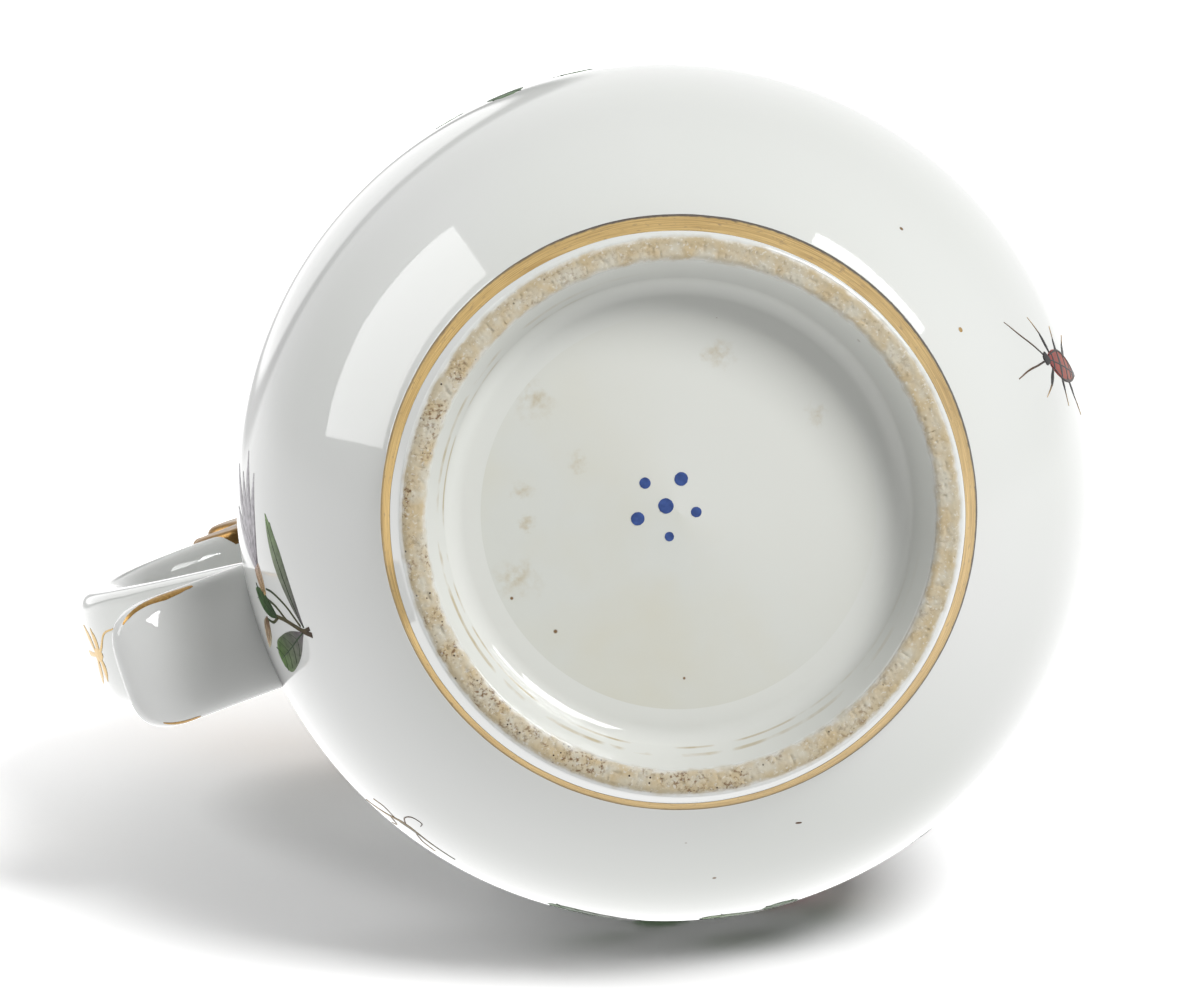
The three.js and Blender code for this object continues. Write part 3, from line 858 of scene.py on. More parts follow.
def handle_spray(spot):
    """The small spray under the handle: a cut twig with leaves, a striped bud and a pale flower."""
    stem(spot, [(-0.3, -0.6), (0.1, 0.6), (0.7, 2.0), (1.6, 4.2), (2.2, 6.6)], 0.28, DARK_BROWN, STEM)
    stem(spot, [(0.4, -0.5), (0.3, 0.7), (0.9, 2.4)], 0.22, DARK_BROWN, STEM)
    leaf(spot.at(0.1, 1.2, 20), 9.0, 3.5, VIOLET_GREY, LEAF_BRIGHT, bend=0.08, blunt=0.4)
    leaf(spot.at(0.6, 0.6, -74), 12.6, 2.1, VIOLET_GREY, LEAF_PALE, bend=-0.09, blunt=0.0, veins=0)
    stem(spot, [(0.8, 1.2), (3.0, 3.2), (4.6, 6.0), (5.0, 7.6)], 0.15, STEM, LEAF_DARK)
    stem(spot, [(1.6, 4.0), (3.2, 6.0), (4.2, 8.6)], 0.17)
    leaf(spot.at(2.0, 6.2, -28), 6.0, 2.3, LEAF_DARK, LEAF, bend=0.05, blunt=0.1, veins=3)
    stem(spot, [(2.0, 6.2), (1.6, 8.0), (2.0, 9.8)], 0.17)
    bud = spot.at(2.1, 9.6, 38)
    bud.stroke([(0, 0, 0.25), (0, 1.8, 0.95), (0, 3.6, 0.7), (0, 5.0, 0.08)], BROWN, CREAM)
    fine_lines(bud, (-0.3, 0.0, 0.3), (1.4, 0.5), (2.0, 0.07), (4.3, 0.03), DARK_BROWN, RUST)
    flower = spot.at(4.4, 8.3, -68)
    flower.stroke([(0, 0, 0.35), (0, 1.2, 0.85), (0, 2.6, 0.95), (0, 3.2, 0.8)], OCHRE, BUFF)
    fine_lines(flower, (-0.55, -0.2, 0.2, 0.55), (1.0, 1.1), (1.6, 0.06), (3.1, 0.04), DARK_BROWN, BROWN)
    petals = [(-26, 9.5, 0.7), (-12, 12.0, 0.8), (0, 10.5, 0.95), (11, 12.5, 0.75), (24, 9.0, 0.8)]
    for turn, reach, half in petals:
        petal = flower.at(0, 2.9, turn)
        blade = [(0, 0, 0.4), (0.1, 0.35 * reach, half), (0, 0.75 * reach, 0.7 * half), (0, reach, 0.05)]
        petal.stroke(blade, PETAL_GREY, PETAL_PALE)
        vein = [(half * 0.6, 0.2, 0.05), (half * 0.9, 0.4 * reach, 0.06), (0.1, 0.9 * reach, 0.03)]
        petal.stroke(vein, VIOLET_GREY, LILAC, layer=1)


def bouquet(spot, tie, leaves, heads, wisps):
    """Leaves and flower heads on stems from one point. A head with no petals is a rose."""
    for x, y in wisps:
        stem(spot, [tie, (0.35 * x + 1.0, 0.6 * y), (x, y)], 0.12, STEM, LEAF)
        for t in (0.72, 0.84, 0.96):
            for side in (-1, 1):
                leaflet = spot.at(x * t, y * t, math.degrees(math.atan2(-x, y)) + 48 * side)
                leaflet.stroke([(0, 0, 0.08), (0, 0.8, 0.3), (0, 1.8, 0.04)], LEAF_BRIGHT, LEAF)
    for x, y, turn, length, width in leaves:
        stem(spot, [tie, (0.5 * x, 0.5 * y + 0.8), (x, y)], 0.2)
        leaf(spot.at(x, y, turn), length, width, VIOLET_GREY if turn % 2 else LEAF_DARK,
             LEAF if turn % 3 else LEAF_BRIGHT, bend=0.05 if turn % 2 else -0.06)
    for x, y, *_ in heads:
        stem(spot, [tie, (0.55 * x, 0.35 * y), (x, y)], 0.18)
    for x, y, radius, petals, heart, edge, eye in heads:
        place = spot.at(x, y, 9 * x + 5 * y)
        if petals:
            bloom(place, radius, petals, heart, edge, eye)
        else:
            rose(place, radius, heart, edge, eye)


def large_bouquet(spot):
    """The large bouquet on the side that the jug was laid down on."""
    leaves = [
        (12, -18.5, 257, 9.5, 4.2), (13, -16.5, 228, 6.5, 3.4), (-3.3, -14.5, 231, 11.5, 4.6),
        (-2, -14, 176, 9.0, 3.8), (-14.5, -14, 95, 8.0, 3.8), (-14, -13, 130, 7.0, 3.4),
        (5, -5, 214, 11.0, 5.2), (-5, -5, 152, 11.5, 5.0), (8, 1, 262, 10.5, 4.6), (-8, 0, 98, 10.0, 4.4),
        (6, 8, 310, 9.0, 3.6), (-6, 9, 40, 9.0, 3.8), (0, 10, 352, 9.0, 3.2),
    ]
    heads = [
        (-8.5, 12.5, 3.3, 5, AMBER, (0.82, 0.66, 0.22), RUST), (2.0, 15.0, 2.9, 6, BLUE, SKY, YELLOW),
        (10.5, 8.0, 3.0, 5, PURPLE, (0.45, 0.32, 0.54), YELLOW), (-12.0, 4.5, 2.2, 0, CRIMSON, ROSE, BLUSH),
        (13.5, -3.5, 2.0, 5, BLUE, SKY, YELLOW), (-11.5, -6.0, 2.1, 5, AMBER, (0.82, 0.66, 0.22), BROWN),
        (8.0, 15.5, 1.7, 0, CRIMSON, ROSE, BLUSH), (0, 0, 7.6, 0, CRIMSON, ROSE, BLUSH),
    ]
    bouquet(spot, (1.0, -9.0), leaves, heads, [(-15, 13), (-4, 20), (16, 12), (-18, -1), (18, 2)])


def loose_bouquet(spot):
    """The bouquet on the other side, looser and with more blue and yellow."""
    leaves = [
        (-3, -7, 162, 10.5, 4.4), (4, -6, 205, 11.5, 4.6), (-7, -2, 118, 10.0, 4.2), (8, -1, 250, 9.5, 4.0),
        (7, 7, 305, 8.5, 3.4), (-6, 8, 48, 9.0, 3.6), (1, 9, 5, 8.0, 3.0), (0, -8, 182, 13.0, 4.0),
    ]
    heads = [
        (1.0, 14.5, 3.0, 6, DARK_RED, BLUSH, YELLOW), (-9.0, 10.5, 2.7, 5, PURPLE, (0.50, 0.38, 0.60), YELLOW),
        (9.5, 10.0, 2.9, 5, AMBER, (0.82, 0.66, 0.24), BROWN), (-12.0, 1.0, 2.1, 6, BLUE, SKY, YELLOW),
        (12.0, -1.5, 2.4, 0, CRIMSON, ROSE, BLUSH), (-8.0, -8.5, 1.9, 0, DARK_RED, BLUSH, CREAM),
        (0, 2, 6.2, 7, (0.05, 0.09, 0.33), (0.42, 0.52, 0.76), YELLOW),
    ]
    bouquet(spot, (-1.5, -11.0), leaves, heads, [(15, 6), (-15, 9), (6, 19), (-5, 18), (15, -9)])


def base_dots(spot):
    """Plain blue dots on the base: a ring of them round one in the middle."""
    spot.dot(0, 0, 0.75, UNDERGLAZE)
    for i in range(5):
        spot.at(0, 0, 72 * i).dot(0, 3.0, 0.55 + 0.12 * math.sin(2 * i), UNDERGLAZE)


def neck_sprig(spot):
    """A small blue flower on a leafy stem."""
    stem(spot, [(0, -5), (0.6, 0), (0, 4)], 0.18)
    for x, y, turn in ((0.3, -3, 60), (0.4, -1.5, -55), (0.4, 0.5, 48), (0.3, 1.6, -50)):
        leaf(spot.at(x, y, turn), 4.2, 1.7, veins=2)
    bloom(spot.at(0, 5.4), 2.4, 5, BLUE, SKY)


def iron_specks(spot):
    """Two specks of iron that the firing left in the glaze."""
    spot.dot(0, 0, 0.26, OCHRE)
    spot.dot(58, 0.3, 0.2, BROWN)


def strap_sprig(spot):
    """A gilt sprig on the strap's outer face."""
    gilt = (1.0, 1.0, 1.0)
    spot.stroke([(0, -7.5, 0.16), (0.1, -3.5, 0.3), (0, 0, 0.2)], gilt)
    spot.stroke([(0, 0, 0.2), (0.6, 2.6, 0.2), (2.2, 5.0, 0.12), (2.6, 8.0, 0.08)], gilt)
    spot.pair([(0, 0.4, 0.1), (1.6, -0.4, 0.55), (3.2, -2.4, 0.1)], gilt)
    spot.pair([(0, 1.2, 0.1), (1.4, 1.6, 0.6), (2.9, 0.9, 0.1)], gilt)
    spot.stroke([(0, -0.2, 0.4), (0, 1.2, 0.8), (0, 2.6, 0.2)], gilt)


def painted(name, surface, motif, *place):
    """A piece made of a motif on a surface, with its own x, y, turn and size there."""
    painting = Painting(surface)
    motif(Spot(painting).at(*place))
    return painting.finish(name)


# Name, surface, motif, and where the motif has them its own x, y, turn and size there.
PAINTINGS = [
    ("handle_spray_enamel", on_wall(179.2, 16.8), handle_spray),
    ("flower_bouquet_enamel", on_wall(96, 50), large_bouquet),
    ("second_bouquet_enamel", on_wall(268, 54), loose_bouquet, 0, 0, -6),
    ("base_dots_underglaze", on_base, base_dots, -1.0, 1.0, 24),
    ("beetle_enamel", on_wall(0.0, 25.0), beetle, -1.5, -4.6, 161),
    ("thin_insect_enamel", on_wall(146.4, 26.3), mantis),
    ("moth_enamel", on_wall(318, 79), moth, 0, 0, -28),
    ("ladybird_enamel", on_wall(222, 84), ladybird, 0, 0, 40, 1.2),
    ("neck_sprig_enamel", on_wall(58, 84), neck_sprig, 0, 0, 12),
    ("iron_specks", on_wall(346, 9.0), iron_specks),
]


# ---------- materials ----------
def colour(r, g, b):
    """An opaque colour."""
    return (r, g, b, 1.0)


class Nodes:
    """A short way to write the node tree of a material or a world."""

    def __init__(self, owner):
        owner.use_nodes = True
        self.owner = owner
        self.tree = owner.node_tree
        self.shader = self.tree.nodes.get("Principled BSDF")

    def add(self, kind, values=None, **settings):
        made = self.tree.nodes.new(kind)
        for key, value in settings.items():
            setattr(made, key, value)
        for key, value in (values or {}).items():
            self.put(made.inputs[key], value)
        return made

    def put(self, socket, value):
        if isinstance(value, bpy.types.NodeSocket):
            self.tree.links.new(value, socket)
        else:
            socket.default_value = value

    def set(self, **values):
        for key, value in values.items():
            self.put(self.shader.inputs[key.replace("_", " ")], value)

    def coords(self, kind="Object"):
        return self.add("ShaderNodeTexCoord").outputs[kind]

    def noise(self, vector, scale, detail=2.0, roughness=0.5):
        values = {"Vector": vector, "Scale": scale, "Detail": detail, "Roughness": roughness}
        return self.add("ShaderNodeTexNoise", values).outputs["Fac"]

    def from_dots(self, vector, scale):
        """The distance from the nearest of some scattered dots."""
        return self.add("ShaderNodeTexVoronoi", {"Vector": vector, "Scale": scale}).outputs["Distance"]

    def ramp(self, value, low, high, start=(0, 0, 0, 1), end=(1, 1, 1, 1)):
        made = self.add("ShaderNodeValToRGB", {"Fac": value})
        for element, position, tone in zip(made.color_ramp.elements, (low, high), (start, end)):
            element.position = position
            element.color = tone
        return made.outputs["Color"]

    def mix(self, factor, first, second, blend="MIX"):
        values = {"Factor": factor, "A": first, "B": second}
        return self.add("ShaderNodeMix", values, data_type="RGBA", blend_type=blend).outputs["Result"]

    def choose(self, factor, first, second):
        """The first number where the factor is 0, and the second where it is 1."""
        values = {"Factor": factor, "A": first, "B": second}
        return self.add("ShaderNodeMix", values, data_type="FLOAT").outputs["Result"]

    def math(self, operation, first, second=0.0):
        return self.add("ShaderNodeMath", {0: first, 1: second}, operation=operation).outputs[0]

    def times(self, first, second):
        return self.math("MULTIPLY", first, second)

    def centred(self, value, amount):
        """A value from 0 to 1, made to swing evenly about 0."""
        return self.times(self.math("SUBTRACT", value, 0.5), amount)

    def off(self, value, middle):
        """How far a value lies from the middle one."""
        return self.math("ABSOLUTE", self.math("SUBTRACT", value, middle))

    def vector(self, operation, first, second=(0, 0, 0), output="Vector"):
        values = {0: first, 1: second}
        return self.add("ShaderNodeVectorMath", values, operation=operation).outputs[output]

    def part(self, vector, axis):
        """One coordinate of a vector."""
        return self.add("ShaderNodeSeparateXYZ", {0: vector}).outputs[axis]

    def smooth(self, value, start, end, rise=1.0):
        """0 at start and rise at end, with soft ends."""
        values = {"Value": value, "From Min": start, "From Max": end, "To Max": rise}
        return self.add("ShaderNodeMapRange", values, interpolation_type="SMOOTHSTEP").outputs["Result"]

    def bump(self, height, strength, distance):
        values = {"Height": height, "Strength": strength, "Distance": distance}
        return self.add("ShaderNodeBump", values).outputs["Normal"]


CLEAN_GLAZE, COOL_GLAZE = colour(0.83, 0.838, 0.825), colour(0.80, 0.818, 0.785)
RECESS_GLAZE, YELLOWED_GLAZE = colour(0.80, 0.812, 0.765), colour(0.78, 0.745, 0.60)
# A greyer glaze for one side of the base: partly its staining and partly painted shade for that side's darker
# look.
STAINED_AND_SHADED_GLAZE = colour(0.66, 0.68, 0.63)
OCHRE_STAIN, IRON_SPECK = colour(0.52, 0.42, 0.23), colour(0.22, 0.13, 0.06)
# Stains on the base, as (x, y, radius) from its middle in millimetres.
STAINS = [
    (-7.8, -7.7, 0.9), (-13.7, -6.9, 0.8), (-14.1, -3.6, 0.8), (-9.9, -14.6, 1.5),
    (-16.9, 1.2, 1.8), (15.8, -4.6, 1.0), (8.5, -13.1, 1.2), (-12.6, -15.8, 0.7),
]
SPECKS = [(-15.0, 7.2, 0.22), (-18.0, 2.8, 0.18), (9.5, -16.8, 0.15), (-4.6, 15.5, 0.15)]
FOOT_SIDES = (-0.9, 0.4, 0.0)  # towards the side of the foot that is stained and gritty most


def from_axis(n, place):
    """A node tree's place measured from the jug's axis, and its distance from that axis."""
    moved = n.vector("SUBTRACT", place, (AXIS_X * MM, 0, 0))
    level = n.vector("MULTIPLY", moved, (1, 1, 0))
    return level, n.vector("LENGTH", level, output="Value")


def towards_stained_side(n, level, distance):
    """0 on the cleaner side of the foot and 1 on the dirtier one."""
    dot = n.vector("DOT_PRODUCT", level, FOOT_SIDES, "Value")
    return n.smooth(n.math("DIVIDE", dot, distance), -0.8, 0.9)


def glaze_tone(n, place):
    """The white of the glaze, with a few iron specks in it."""
    tone = n.mix(n.ramp(n.noise(place, 22.0), 0.35, 0.65), CLEAN_GLAZE, COOL_GLAZE)
    dots = n.from_dots(place, 130.0)
    rare = n.ramp(n.noise(place, 35.0, 0.0), 0.66, 0.68)
    return n.mix(n.times(n.smooth(dots, 0.036, 0.018), rare), tone, IRON_SPECK)


def finish_glaze(n, place, tone):
    """A wet-looking glaze that is never quite flat."""
    n.set(Base_Color=tone, Roughness=0.045, IOR=1.52)
    ripple = n.math("ADD", n.noise(place, 55.0, 1.0), n.times(n.noise(place, 420.0, 2.0), 0.035))
    n.set(Normal=n.bump(ripple, 1.0, 0.00009))
    return n.owner


def plain_glaze():
    n = Nodes(bpy.data.materials.new("porcelain_glaze"))
    place = n.coords()
    return finish_glaze(n, place, glaze_tone(n, place))


def body_glaze():
    """The body's glaze, stained on the base inside the foot and greyer there on one side, partly from staining
    and partly from painted shade.
    """
    n = Nodes(bpy.data.materials.new("body_glaze"))
    place = n.coords()
    level, distance = from_axis(n, place)
    tone = glaze_tone(n, place)
    height = n.part(place, "Z")
    below = n.smooth(height, (RECESS + 1.2) * MM, (RECESS + 0.6) * MM)
    on_base = n.times(below, n.smooth(distance, (BARE_IN + 0.6) * MM, BARE_IN * MM))
    base = n.mix(n.ramp(n.noise(place, 90.0, 3.0), 0.42, 0.75), RECESS_GLAZE, YELLOWED_GLAZE)
    old_side = towards_stained_side(n, level, distance)
    base = n.mix(n.times(old_side, 0.75), RECESS_GLAZE, base)
    # greyer towards the stained side, which is partly the staining and partly painted shade
    base = n.mix(n.times(old_side, 0.4), base, STAINED_AND_SHADED_GLAZE)
    ragged = n.centred(n.noise(place, 620.0, 4.0, 0.65), 0.0034)
    patchy = n.ramp(n.noise(place, 1100.0, 3.0), 0.34, 0.66)
    for x, y, radius in STAINS:
        apart = n.vector("DISTANCE", level, (x * MM, y * MM, 0), "Value")
        near = n.smooth(n.math("ADD", apart, ragged), radius * 1.5 * MM, 0.0)
        base = n.mix(n.times(n.times(near, patchy), 0.6), base, OCHRE_STAIN)
    for x, y, radius in SPECKS:
        apart = n.vector("DISTANCE", level, (x * MM, y * MM, 0), "Value")
        base = n.mix(n.smooth(apart, radius * 1.2 * MM, radius * 0.5 * MM), base, IRON_SPECK)
    return finish_glaze(n, place, n.mix(on_base, tone, base))


def clay_share(n, place, distance):
    """1 on the bare clay and 0 on glaze, with a soft wandering edge where the glaze thins out."""
    middle, half = (BARE_IN + BARE_OUT) / 2 * MM, (BARE_OUT - BARE_IN) / 2 * MM
    wander = n.centred(n.noise(place, 700.0, 3.0), 0.0011)
    return n.smooth(n.math("ADD", n.off(distance, middle), wander), half + 0.2 * MM, half - 0.42 * MM)


def foot_glaze():
    """The foot's glaze: stained where it thins towards the bare rim, and along a line inside the foot."""
    n = Nodes(bpy.data.materials.new("foot_glaze"))
    place = n.coords()
    level, distance = from_axis(n, place)
    tone = glaze_tone(n, place)
    inside = n.smooth(distance, (BARE_IN + 0.3) * MM, (BARE_IN - 0.2) * MM)
    tone = n.mix(n.times(inside, 0.75), tone, RECESS_GLAZE)
    height = n.part(place, "Z")
    low = n.smooth(height, 1.3 * MM, 0.6 * MM)
    share = n.times(clay_share(n, place, distance), low)
    tone = n.mix(n.times(share, 0.8), tone, colour(0.60, 0.53, 0.40))
    old_side = towards_stained_side(n, level, distance)
    dashes = n.ramp(n.noise(place, 260.0, 3.0), 0.42, 0.6)
    for radius, width in ((BARE_IN - 1.15, 0.17), (BARE_IN - 1.75, 0.10)):
        off = n.off(distance, radius * MM)
        line = n.times(n.smooth(off, width * MM, 0.3 * width * MM), dashes)
        tone = n.mix(n.times(line, n.times(old_side, 0.8)), tone, OCHRE_STAIN)
    return finish_glaze(n, place, tone)


def bare_clay():
    """Fired clay without glaze: beige and grey-white, with dark grit worked into it in clusters."""
    n = Nodes(bpy.data.materials.new("unglazed_clay"))
    place = n.coords()
    level, distance = from_axis(n, place)
    old_side = towards_stained_side(n, level, distance)
    patches = n.ramp(n.noise(place, 420.0, 2.0), 0.38, 0.62)
    tone = n.mix(patches, colour(0.60, 0.49, 0.31), colour(0.64, 0.60, 0.49))
    outward = n.smooth(distance, (BARE_OUT - 1.3) * MM, (BARE_OUT - 0.5) * MM)
    tone = n.mix(n.times(outward, 0.45), tone, colour(0.50, 0.41, 0.25))
    clusters = n.times(n.ramp(n.noise(place, 330.0, 2.0), 0.40, 0.62), n.math("ADD", old_side, 0.3))
    grit = n.ramp(n.noise(place, 2400.0, 3.0, 0.65), 0.50, 0.64)
    tone = n.mix(n.times(n.times(grit, clusters), 0.9), tone, colour(0.23, 0.14, 0.07))
    white = n.times(n.ramp(n.noise(place, 3100.0, 2.0), 0.60, 0.68), 0.6)
    tone = n.mix(white, tone, colour(0.74, 0.72, 0.66))
    dots = n.from_dots(place, 1500.0)
    rare = n.times(n.ramp(n.noise(place, 800.0, 1.0), 0.56, 0.6), n.math("ADD", old_side, 0.25))
    tone = n.mix(n.times(n.smooth(dots, 0.2, 0.1), rare), tone, colour(0.05, 0.03, 0.02))
    share = clay_share(n, place, distance)
    tone = n.mix(share, colour(0.80, 0.80, 0.76), tone)
    roughness = n.add("ShaderNodeMapRange", {"Value": share, "To Min": 0.12, "To Max": 0.9}).outputs["Result"]
    n.set(Base_Color=tone, Roughness=roughness)
    n.set(Normal=n.bump(n.noise(place, 2600.0, 3.0, 0.6), 0.45, 0.00007))
    return n.owner


def gold(name, deep=colour(0.44, 0.26, 0.06), bright=colour(0.80, 0.57, 0.22), shaded_edge=False):
    """Burnished gilding with the brush's fine streaks. The foot's band has a dark outer edge of painted shade.
    """
    n = Nodes(bpy.data.materials.new(name))
    streaked = n.vector("MULTIPLY", n.coords("UV"), (30.0, 16.0, 1.0))
    streaks = n.noise(streaked, 1.0, 3.0, 0.6)
    tone = n.mix(n.ramp(streaks, 0.32, 0.68), deep, bright)
    fine = n.noise(n.coords(), 1400.0, 3.0)
    tone = n.mix(n.ramp(fine, 0.60, 0.74), tone, colour(0.42, 0.27, 0.11))
    # a dark brown line along the band's outer edge: painted shade for the corner where it meets the belly,
    # strongest on the cleaner side of the foot
    if shaded_edge:
        level, distance = from_axis(n, n.coords())
        shaded = n.math("SUBTRACT", 1.15, towards_stained_side(n, level, distance))
        across = n.part(n.coords("UV"), "Y")
        edge_shade = n.math("ADD", across, n.centred(fine, 0.15))
        tone = n.mix(n.times(n.smooth(edge_shade, 0.80, 0.93), shaded), tone, colour(0.06, 0.035, 0.015))
    n.set(Base_Color=tone, Metallic=1.0, Roughness=0.3, Normal=n.bump(streaks, 0.35, 0.00002))
    return n.owner


def enamel():
    """Overglaze paint in each stroke's own colour, thin and mottled as a brush leaves it."""
    n = Nodes(bpy.data.materials.new("enamel_paint"))
    paint = n.add("ShaderNodeAttribute", attribute_name="paint").outputs["Color"]
    mottle = n.noise(n.coords(), 1500.0, 3.0)
    thin = n.ramp(mottle, 0.3, 0.75, colour(0.68, 0.68, 0.68), colour(1.25, 1.25, 1.25))
    n.set(Base_Color=n.mix(1.0, paint, thin, "MULTIPLY"), Roughness=0.4, Specular_IOR_Level=0.2)
    n.set(Normal=n.bump(n.noise(n.coords(), 2200.0, 2.0), 0.25, 0.00002))
    return n.owner


def finish_piece(piece, material):
    piece.data.materials.clear()
    piece.data.materials.append(material)
    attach(piece, "root")


def dress(piece, material, node):
    """Gives a piece its finish and hides the CAD node it stands for."""
    finish_piece(piece, material)
    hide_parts(node)


# ---------- camera, floor and lights ----------
HANDLE_DROP = math.radians(18.5)  # how far the handle has rolled below level


def paper_up():
    """The way up from the paper, on which the jug lies on its belly and the edge of its mouth."""
    reach = math.hypot(TOP - BELLY_Z, MOUTH)
    lean = math.asin(BELLY / reach) - math.atan2(MOUTH, TOP - BELLY_Z)
    level = Vector((math.sin(HANDLE_DROP), -math.cos(HANDLE_DROP), 0))
    return level * math.cos(lean) - Vector((0, 0, math.sin(lean)))


PAPER_GAIN = 1.6  # the picture is exposed to leave the paper white
FAR_PAPER, FAR_GLOW = (0.045, 0.12), 0.5  # away from the jug it glows a little, over this range
LENS, SENSOR = 269.1, 36.0
AXIS_SEEN = (-0.0365, 0.0633, -0.998)  # the jug's axis, from foot to mouth, in the camera's own axes
JUG_PLACE = (0.0065, 0.0006, -0.9)  # the belly's middle in the camera's own axes


def camera_basis():
    """The camera's axes in the frame, as columns right, up and back."""
    right = Vector((math.cos(HANDLE_DROP), math.sin(HANDLE_DROP), 0))
    up = Vector((math.sin(HANDLE_DROP), -math.cos(HANDLE_DROP), 0))
    straight = Matrix((right, up, Vector((0, 0, -1)))).transposed()
    turn = Vector((0, 0, -1)).rotation_difference(Vector(AXIS_SEEN).normalized()).to_matrix()
    return straight @ turn.transposed()


BASIS = camera_basis()
CENTRE = Vector((AXIS_X * MM, 0, BELLY_Z * MM))


def make_camera():
    """The photo's camera: far away with a long lens, almost on the jug's axis."""
    data = bpy.data.cameras.new("camera")
    data.lens, data.sensor_width = LENS, SENSOR
    data.clip_start, data.clip_end = 0.05, 60.0
    camera = bpy.data.objects.new("camera", data)
    bpy.context.scene.collection.objects.link(camera)
    place = CENTRE - BASIS @ Vector(JUG_PLACE)
    camera.matrix_world = Matrix.Translation(place) @ BASIS.to_4x4()
    bpy.context.scene.camera = camera


def towards(azimuth, tilt):
    """A direction in the frame: azimuth round the image from its right, tilt from the camera."""
    a, t = math.radians(azimuth), math.radians(tilt)
    return BASIS @ Vector((math.cos(a) * math.sin(t), math.sin(a) * math.sin(t), math.cos(t)))


# The studio's brightness from the camera's side (-1) to behind the jug (1), to shade by and as mirrored.
SHADING = [(0.1, 0.30), (0.9, 0.45)]
MIRRORED = [(-0.3, 0.3), (0.5, 0.9), (0.95, 1.5)]
# What the paper adds from below level.
PAPER_SHADING, PAPER_MIRRORED = [(-0.25, 0.84), (0.02, 0.0)], [(-0.12, 0.4), (0.02, 0.0)]
# At deeper bounces the paper only keeps out the light from below level.
PAPER_HIDES = [(-0.02, 0.0), (0.04, 1.0)]
FIRST_BOUNCES = 2.5  # ray depths up to this light what the camera sees directly
BACKDROP = 1.05
# A round white screen behind the jug with a dark edge, which the belly mirrors as a thin grey arc.
DARK_FLAG = towards(137.5, 152.8)
FLAG_RING = [(0.955, 1.0), (0.968, 0.3), (0.974, 0.3), (0.982, 1.3)]
# Name, azimuth, tilt, distance, width, height, radiance, and whether it shades, shines or does both.
LIGHTS = [
    ("key_light", 52, 51, 1.1, 0.42, 0.42, 15.5, "both"),
    ("left_light", 150, 95, 1.0, 0.77, 0.42, 3.0, "shade"),
    ("left_window", 150, 91, 0.95, 0.73, 0.40, 3.6, "shine"),
    ("right_window", 45, 75, 1.0, 0.5, 0.4, 8.0, "shine"),
]


def softbox(name, azimuth, tilt, distance, width, height, radiance, use):
    """A soft light at a direction and distance from the jug."""
    way = towards(azimuth, tilt)
    data = bpy.data.lights.new(name, "AREA")
    data.shape, data.size, data.size_y = "RECTANGLE", width, height
    data.energy = radiance * math.pi * width * height
    light = bpy.data.objects.new(name, data)
    bpy.context.scene.collection.objects.link(light)
    light.location = CENTRE + way * distance
    light.rotation_mode = "QUATERNION"
    light.rotation_quaternion = way.to_track_quat("Z", "Y")
    light.visible_camera = False
    light.visible_diffuse = use != "shine"
    light.visible_glossy = use != "shade"


def stepped(n, value, steps):
    """A brightness that changes smoothly between (position, brightness) steps."""
    made = steps[0][1]
    for (low, before), (high, after) in zip(steps, steps[1:]):
        made = n.math("ADD", made, n.smooth(value, low, high, after - before))
    return made


def make_world():
    """The studio: what lights the jug, what its glaze mirrors, and the pure white the camera sees."""
    n = Nodes(bpy.data.worlds.new("studio"))
    n.tree.nodes.clear()
    path = n.add("ShaderNodeLightPath").outputs
    way = n.coords("Generated")
    behind = n.part(way, "Z")
    flag = n.vector("DOT_PRODUCT", way, DARK_FLAG, "Value")
    above = n.vector("DOT_PRODUCT", way, paper_up(), "Value")
    studio = n.times(stepped(n, behind, MIRRORED), stepped(n, flag, FLAG_RING))
    mirrored = n.math("ADD", studio, stepped(n, above, PAPER_MIRRORED))
    # light from the paper reaches what the camera sees of the jug, but not its underside
    lit = n.math("ADD", stepped(n, behind, SHADING), stepped(n, above, PAPER_SHADING))
    hidden = n.times(stepped(n, behind, SHADING), stepped(n, above, PAPER_HIDES))
    deep = n.math("GREATER_THAN", path["Ray Depth"], FIRST_BOUNCES)
    strength = n.choose(path["Is Glossy Ray"], n.choose(deep, lit, hidden), mirrored)
    lighting = n.add("ShaderNodeBackground", {"Strength": strength}).outputs[0]
    seen = n.add("ShaderNodeBackground", {"Color": colour(1, 1, 1), "Strength": BACKDROP}).outputs[0]
    mix = n.add("ShaderNodeMixShader", {0: path["Is Camera Ray"], 1: lighting, 2: seen}).outputs[0]
    n.add("ShaderNodeOutputWorld", {0: mix})
    bpy.context.scene.world = n.owner


def one_sided_white(name):
    """White paper, seen from its front only, with a painted glow that brightens it away from the jug."""
    n = Nodes(bpy.data.materials.new(name))
    n.tree.nodes.remove(n.shader)
    lit = n.times(n.smooth(n.vector("LENGTH", n.coords(), output="Value"), *FAR_PAPER), FAR_GLOW)
    glow = n.add("ShaderNodeEmission", {"Strength": lit})
    bright = n.add("ShaderNodeBsdfDiffuse", {"Color": colour(PAPER_GAIN, PAPER_GAIN, PAPER_GAIN)})
    paper = n.add("ShaderNodeAddShader", {0: bright.outputs[0], 1: glow.outputs[0]})
    clear = n.add("ShaderNodeBsdfTransparent")
    back = n.add("ShaderNodeNewGeometry").outputs["Backfacing"]
    side = n.add("ShaderNodeMixShader", {0: back, 1: paper.outputs[0], 2: clear.outputs[0]})
    n.put(n.tree.nodes["Material Output"].inputs["Surface"], side.outputs[0])
    return n.owner


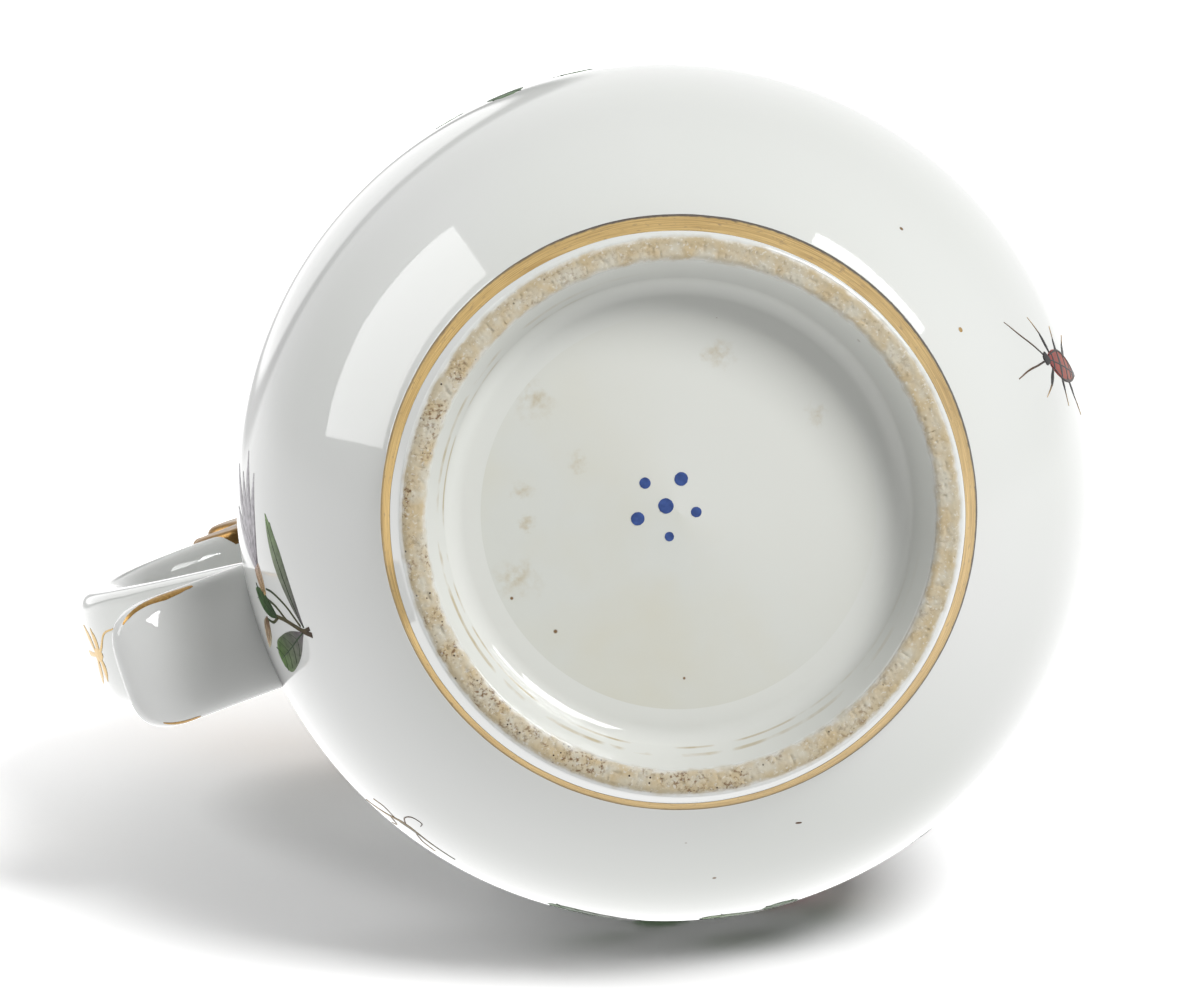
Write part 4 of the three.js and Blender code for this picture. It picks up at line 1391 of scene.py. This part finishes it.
def plane(name, middle, normal, half):
    """A square of floor that the camera sees and that catches shadows, but that lights nothing."""
    mesh = bpy.data.meshes.new(name)
    corners = [(-half, -half, 0), (half, -half, 0), (half, half, 0), (-half, half, 0)]
    mesh.from_pydata(corners, [], [(0, 1, 2, 3)])
    mesh.materials.append(one_sided_white(name + "_paper"))
    made = bpy.data.objects.new(name, mesh)
    bpy.context.scene.collection.objects.link(made)
    turn = Vector(normal).to_track_quat("Z", "Y").to_matrix().to_4x4()
    made.matrix_world = Matrix.Translation(middle) @ turn
    for flag in ("visible_diffuse", "visible_glossy", "visible_shadow", "visible_transmission"):
        setattr(made, flag, False)


LYING_HALF, STANDING_HALF, JUST_BELOW = 0.8, 6.0, 0.00002


def make_floors():
    """The floor the jug lies on, and one it stands on, which only shows in views from above."""
    plane("floor_lying", CENTRE - paper_up() * BELLY * MM, paper_up(), LYING_HALF)
    plane("floor_standing", Vector((AXIS_X * MM, 0, -JUST_BELOW)), (0, 0, 1), STANDING_HALF)


# ---------- assembly ----------
def main():
    body, lip = make_body_and_lip()
    ring, bare = make_foot()
    porcelain, gilding = plain_glaze(), gold("gilding")
    dress(body, body_glaze(), "body")
    dress(lip, porcelain, "pouring_lip")
    dress(ring, foot_glaze(), "foot_ring")
    dress(bare, bare_clay(), "unglazed_foot_rim")
    dress(gilt_band(), gold("foot_gilding", shaded_edge=True), "gilt_foot_band")
    dress(gilt_rim(), gilding, "gilt_rim")
    dress(make_strap(), porcelain, "handle_strap")
    dress(make_tongue(), porcelain, "handle_tongue")
    # the thumb scroll's gilding is darkened to a deep copper brown: painted shade for the dark that its
    # shadowed underside reflects
    shaded_thumb_gold = gold("thumb_gilding", colour(0.15, 0.08, 0.025), colour(0.42, 0.25, 0.09))
    dress(make_thumb(), shaded_thumb_gold, "thumb_scroll")
    edge_gold = gold("tongue_gilding", colour(0.16, 0.07, 0.02), colour(0.74, 0.46, 0.14))
    left = tongue_line("gilt_tongue_line_left_gold", -1, 1.0, 7.6, 0.17)
    dress(left, edge_gold, "gilt_tongue_line_left")
    right = tongue_line("gilt_tongue_line_right_gold", 1, 1.6, 3.6, 0.10)
    dress(right, edge_gold, "gilt_tongue_line_right")
    paint = enamel()
    for row in PAINTINGS:
        finish_piece(painted(*row), paint)
    sprig = painted("strap_sprig_gold", on_strap(43), strap_sprig, 0, 0, 180)
    finish_piece(sprig, gilding)
    make_camera()
    make_world()
    make_floors()
    for light in LIGHTS:
        softbox(*light)
    bpy.context.scene.view_settings.view_transform = "Standard"


main()
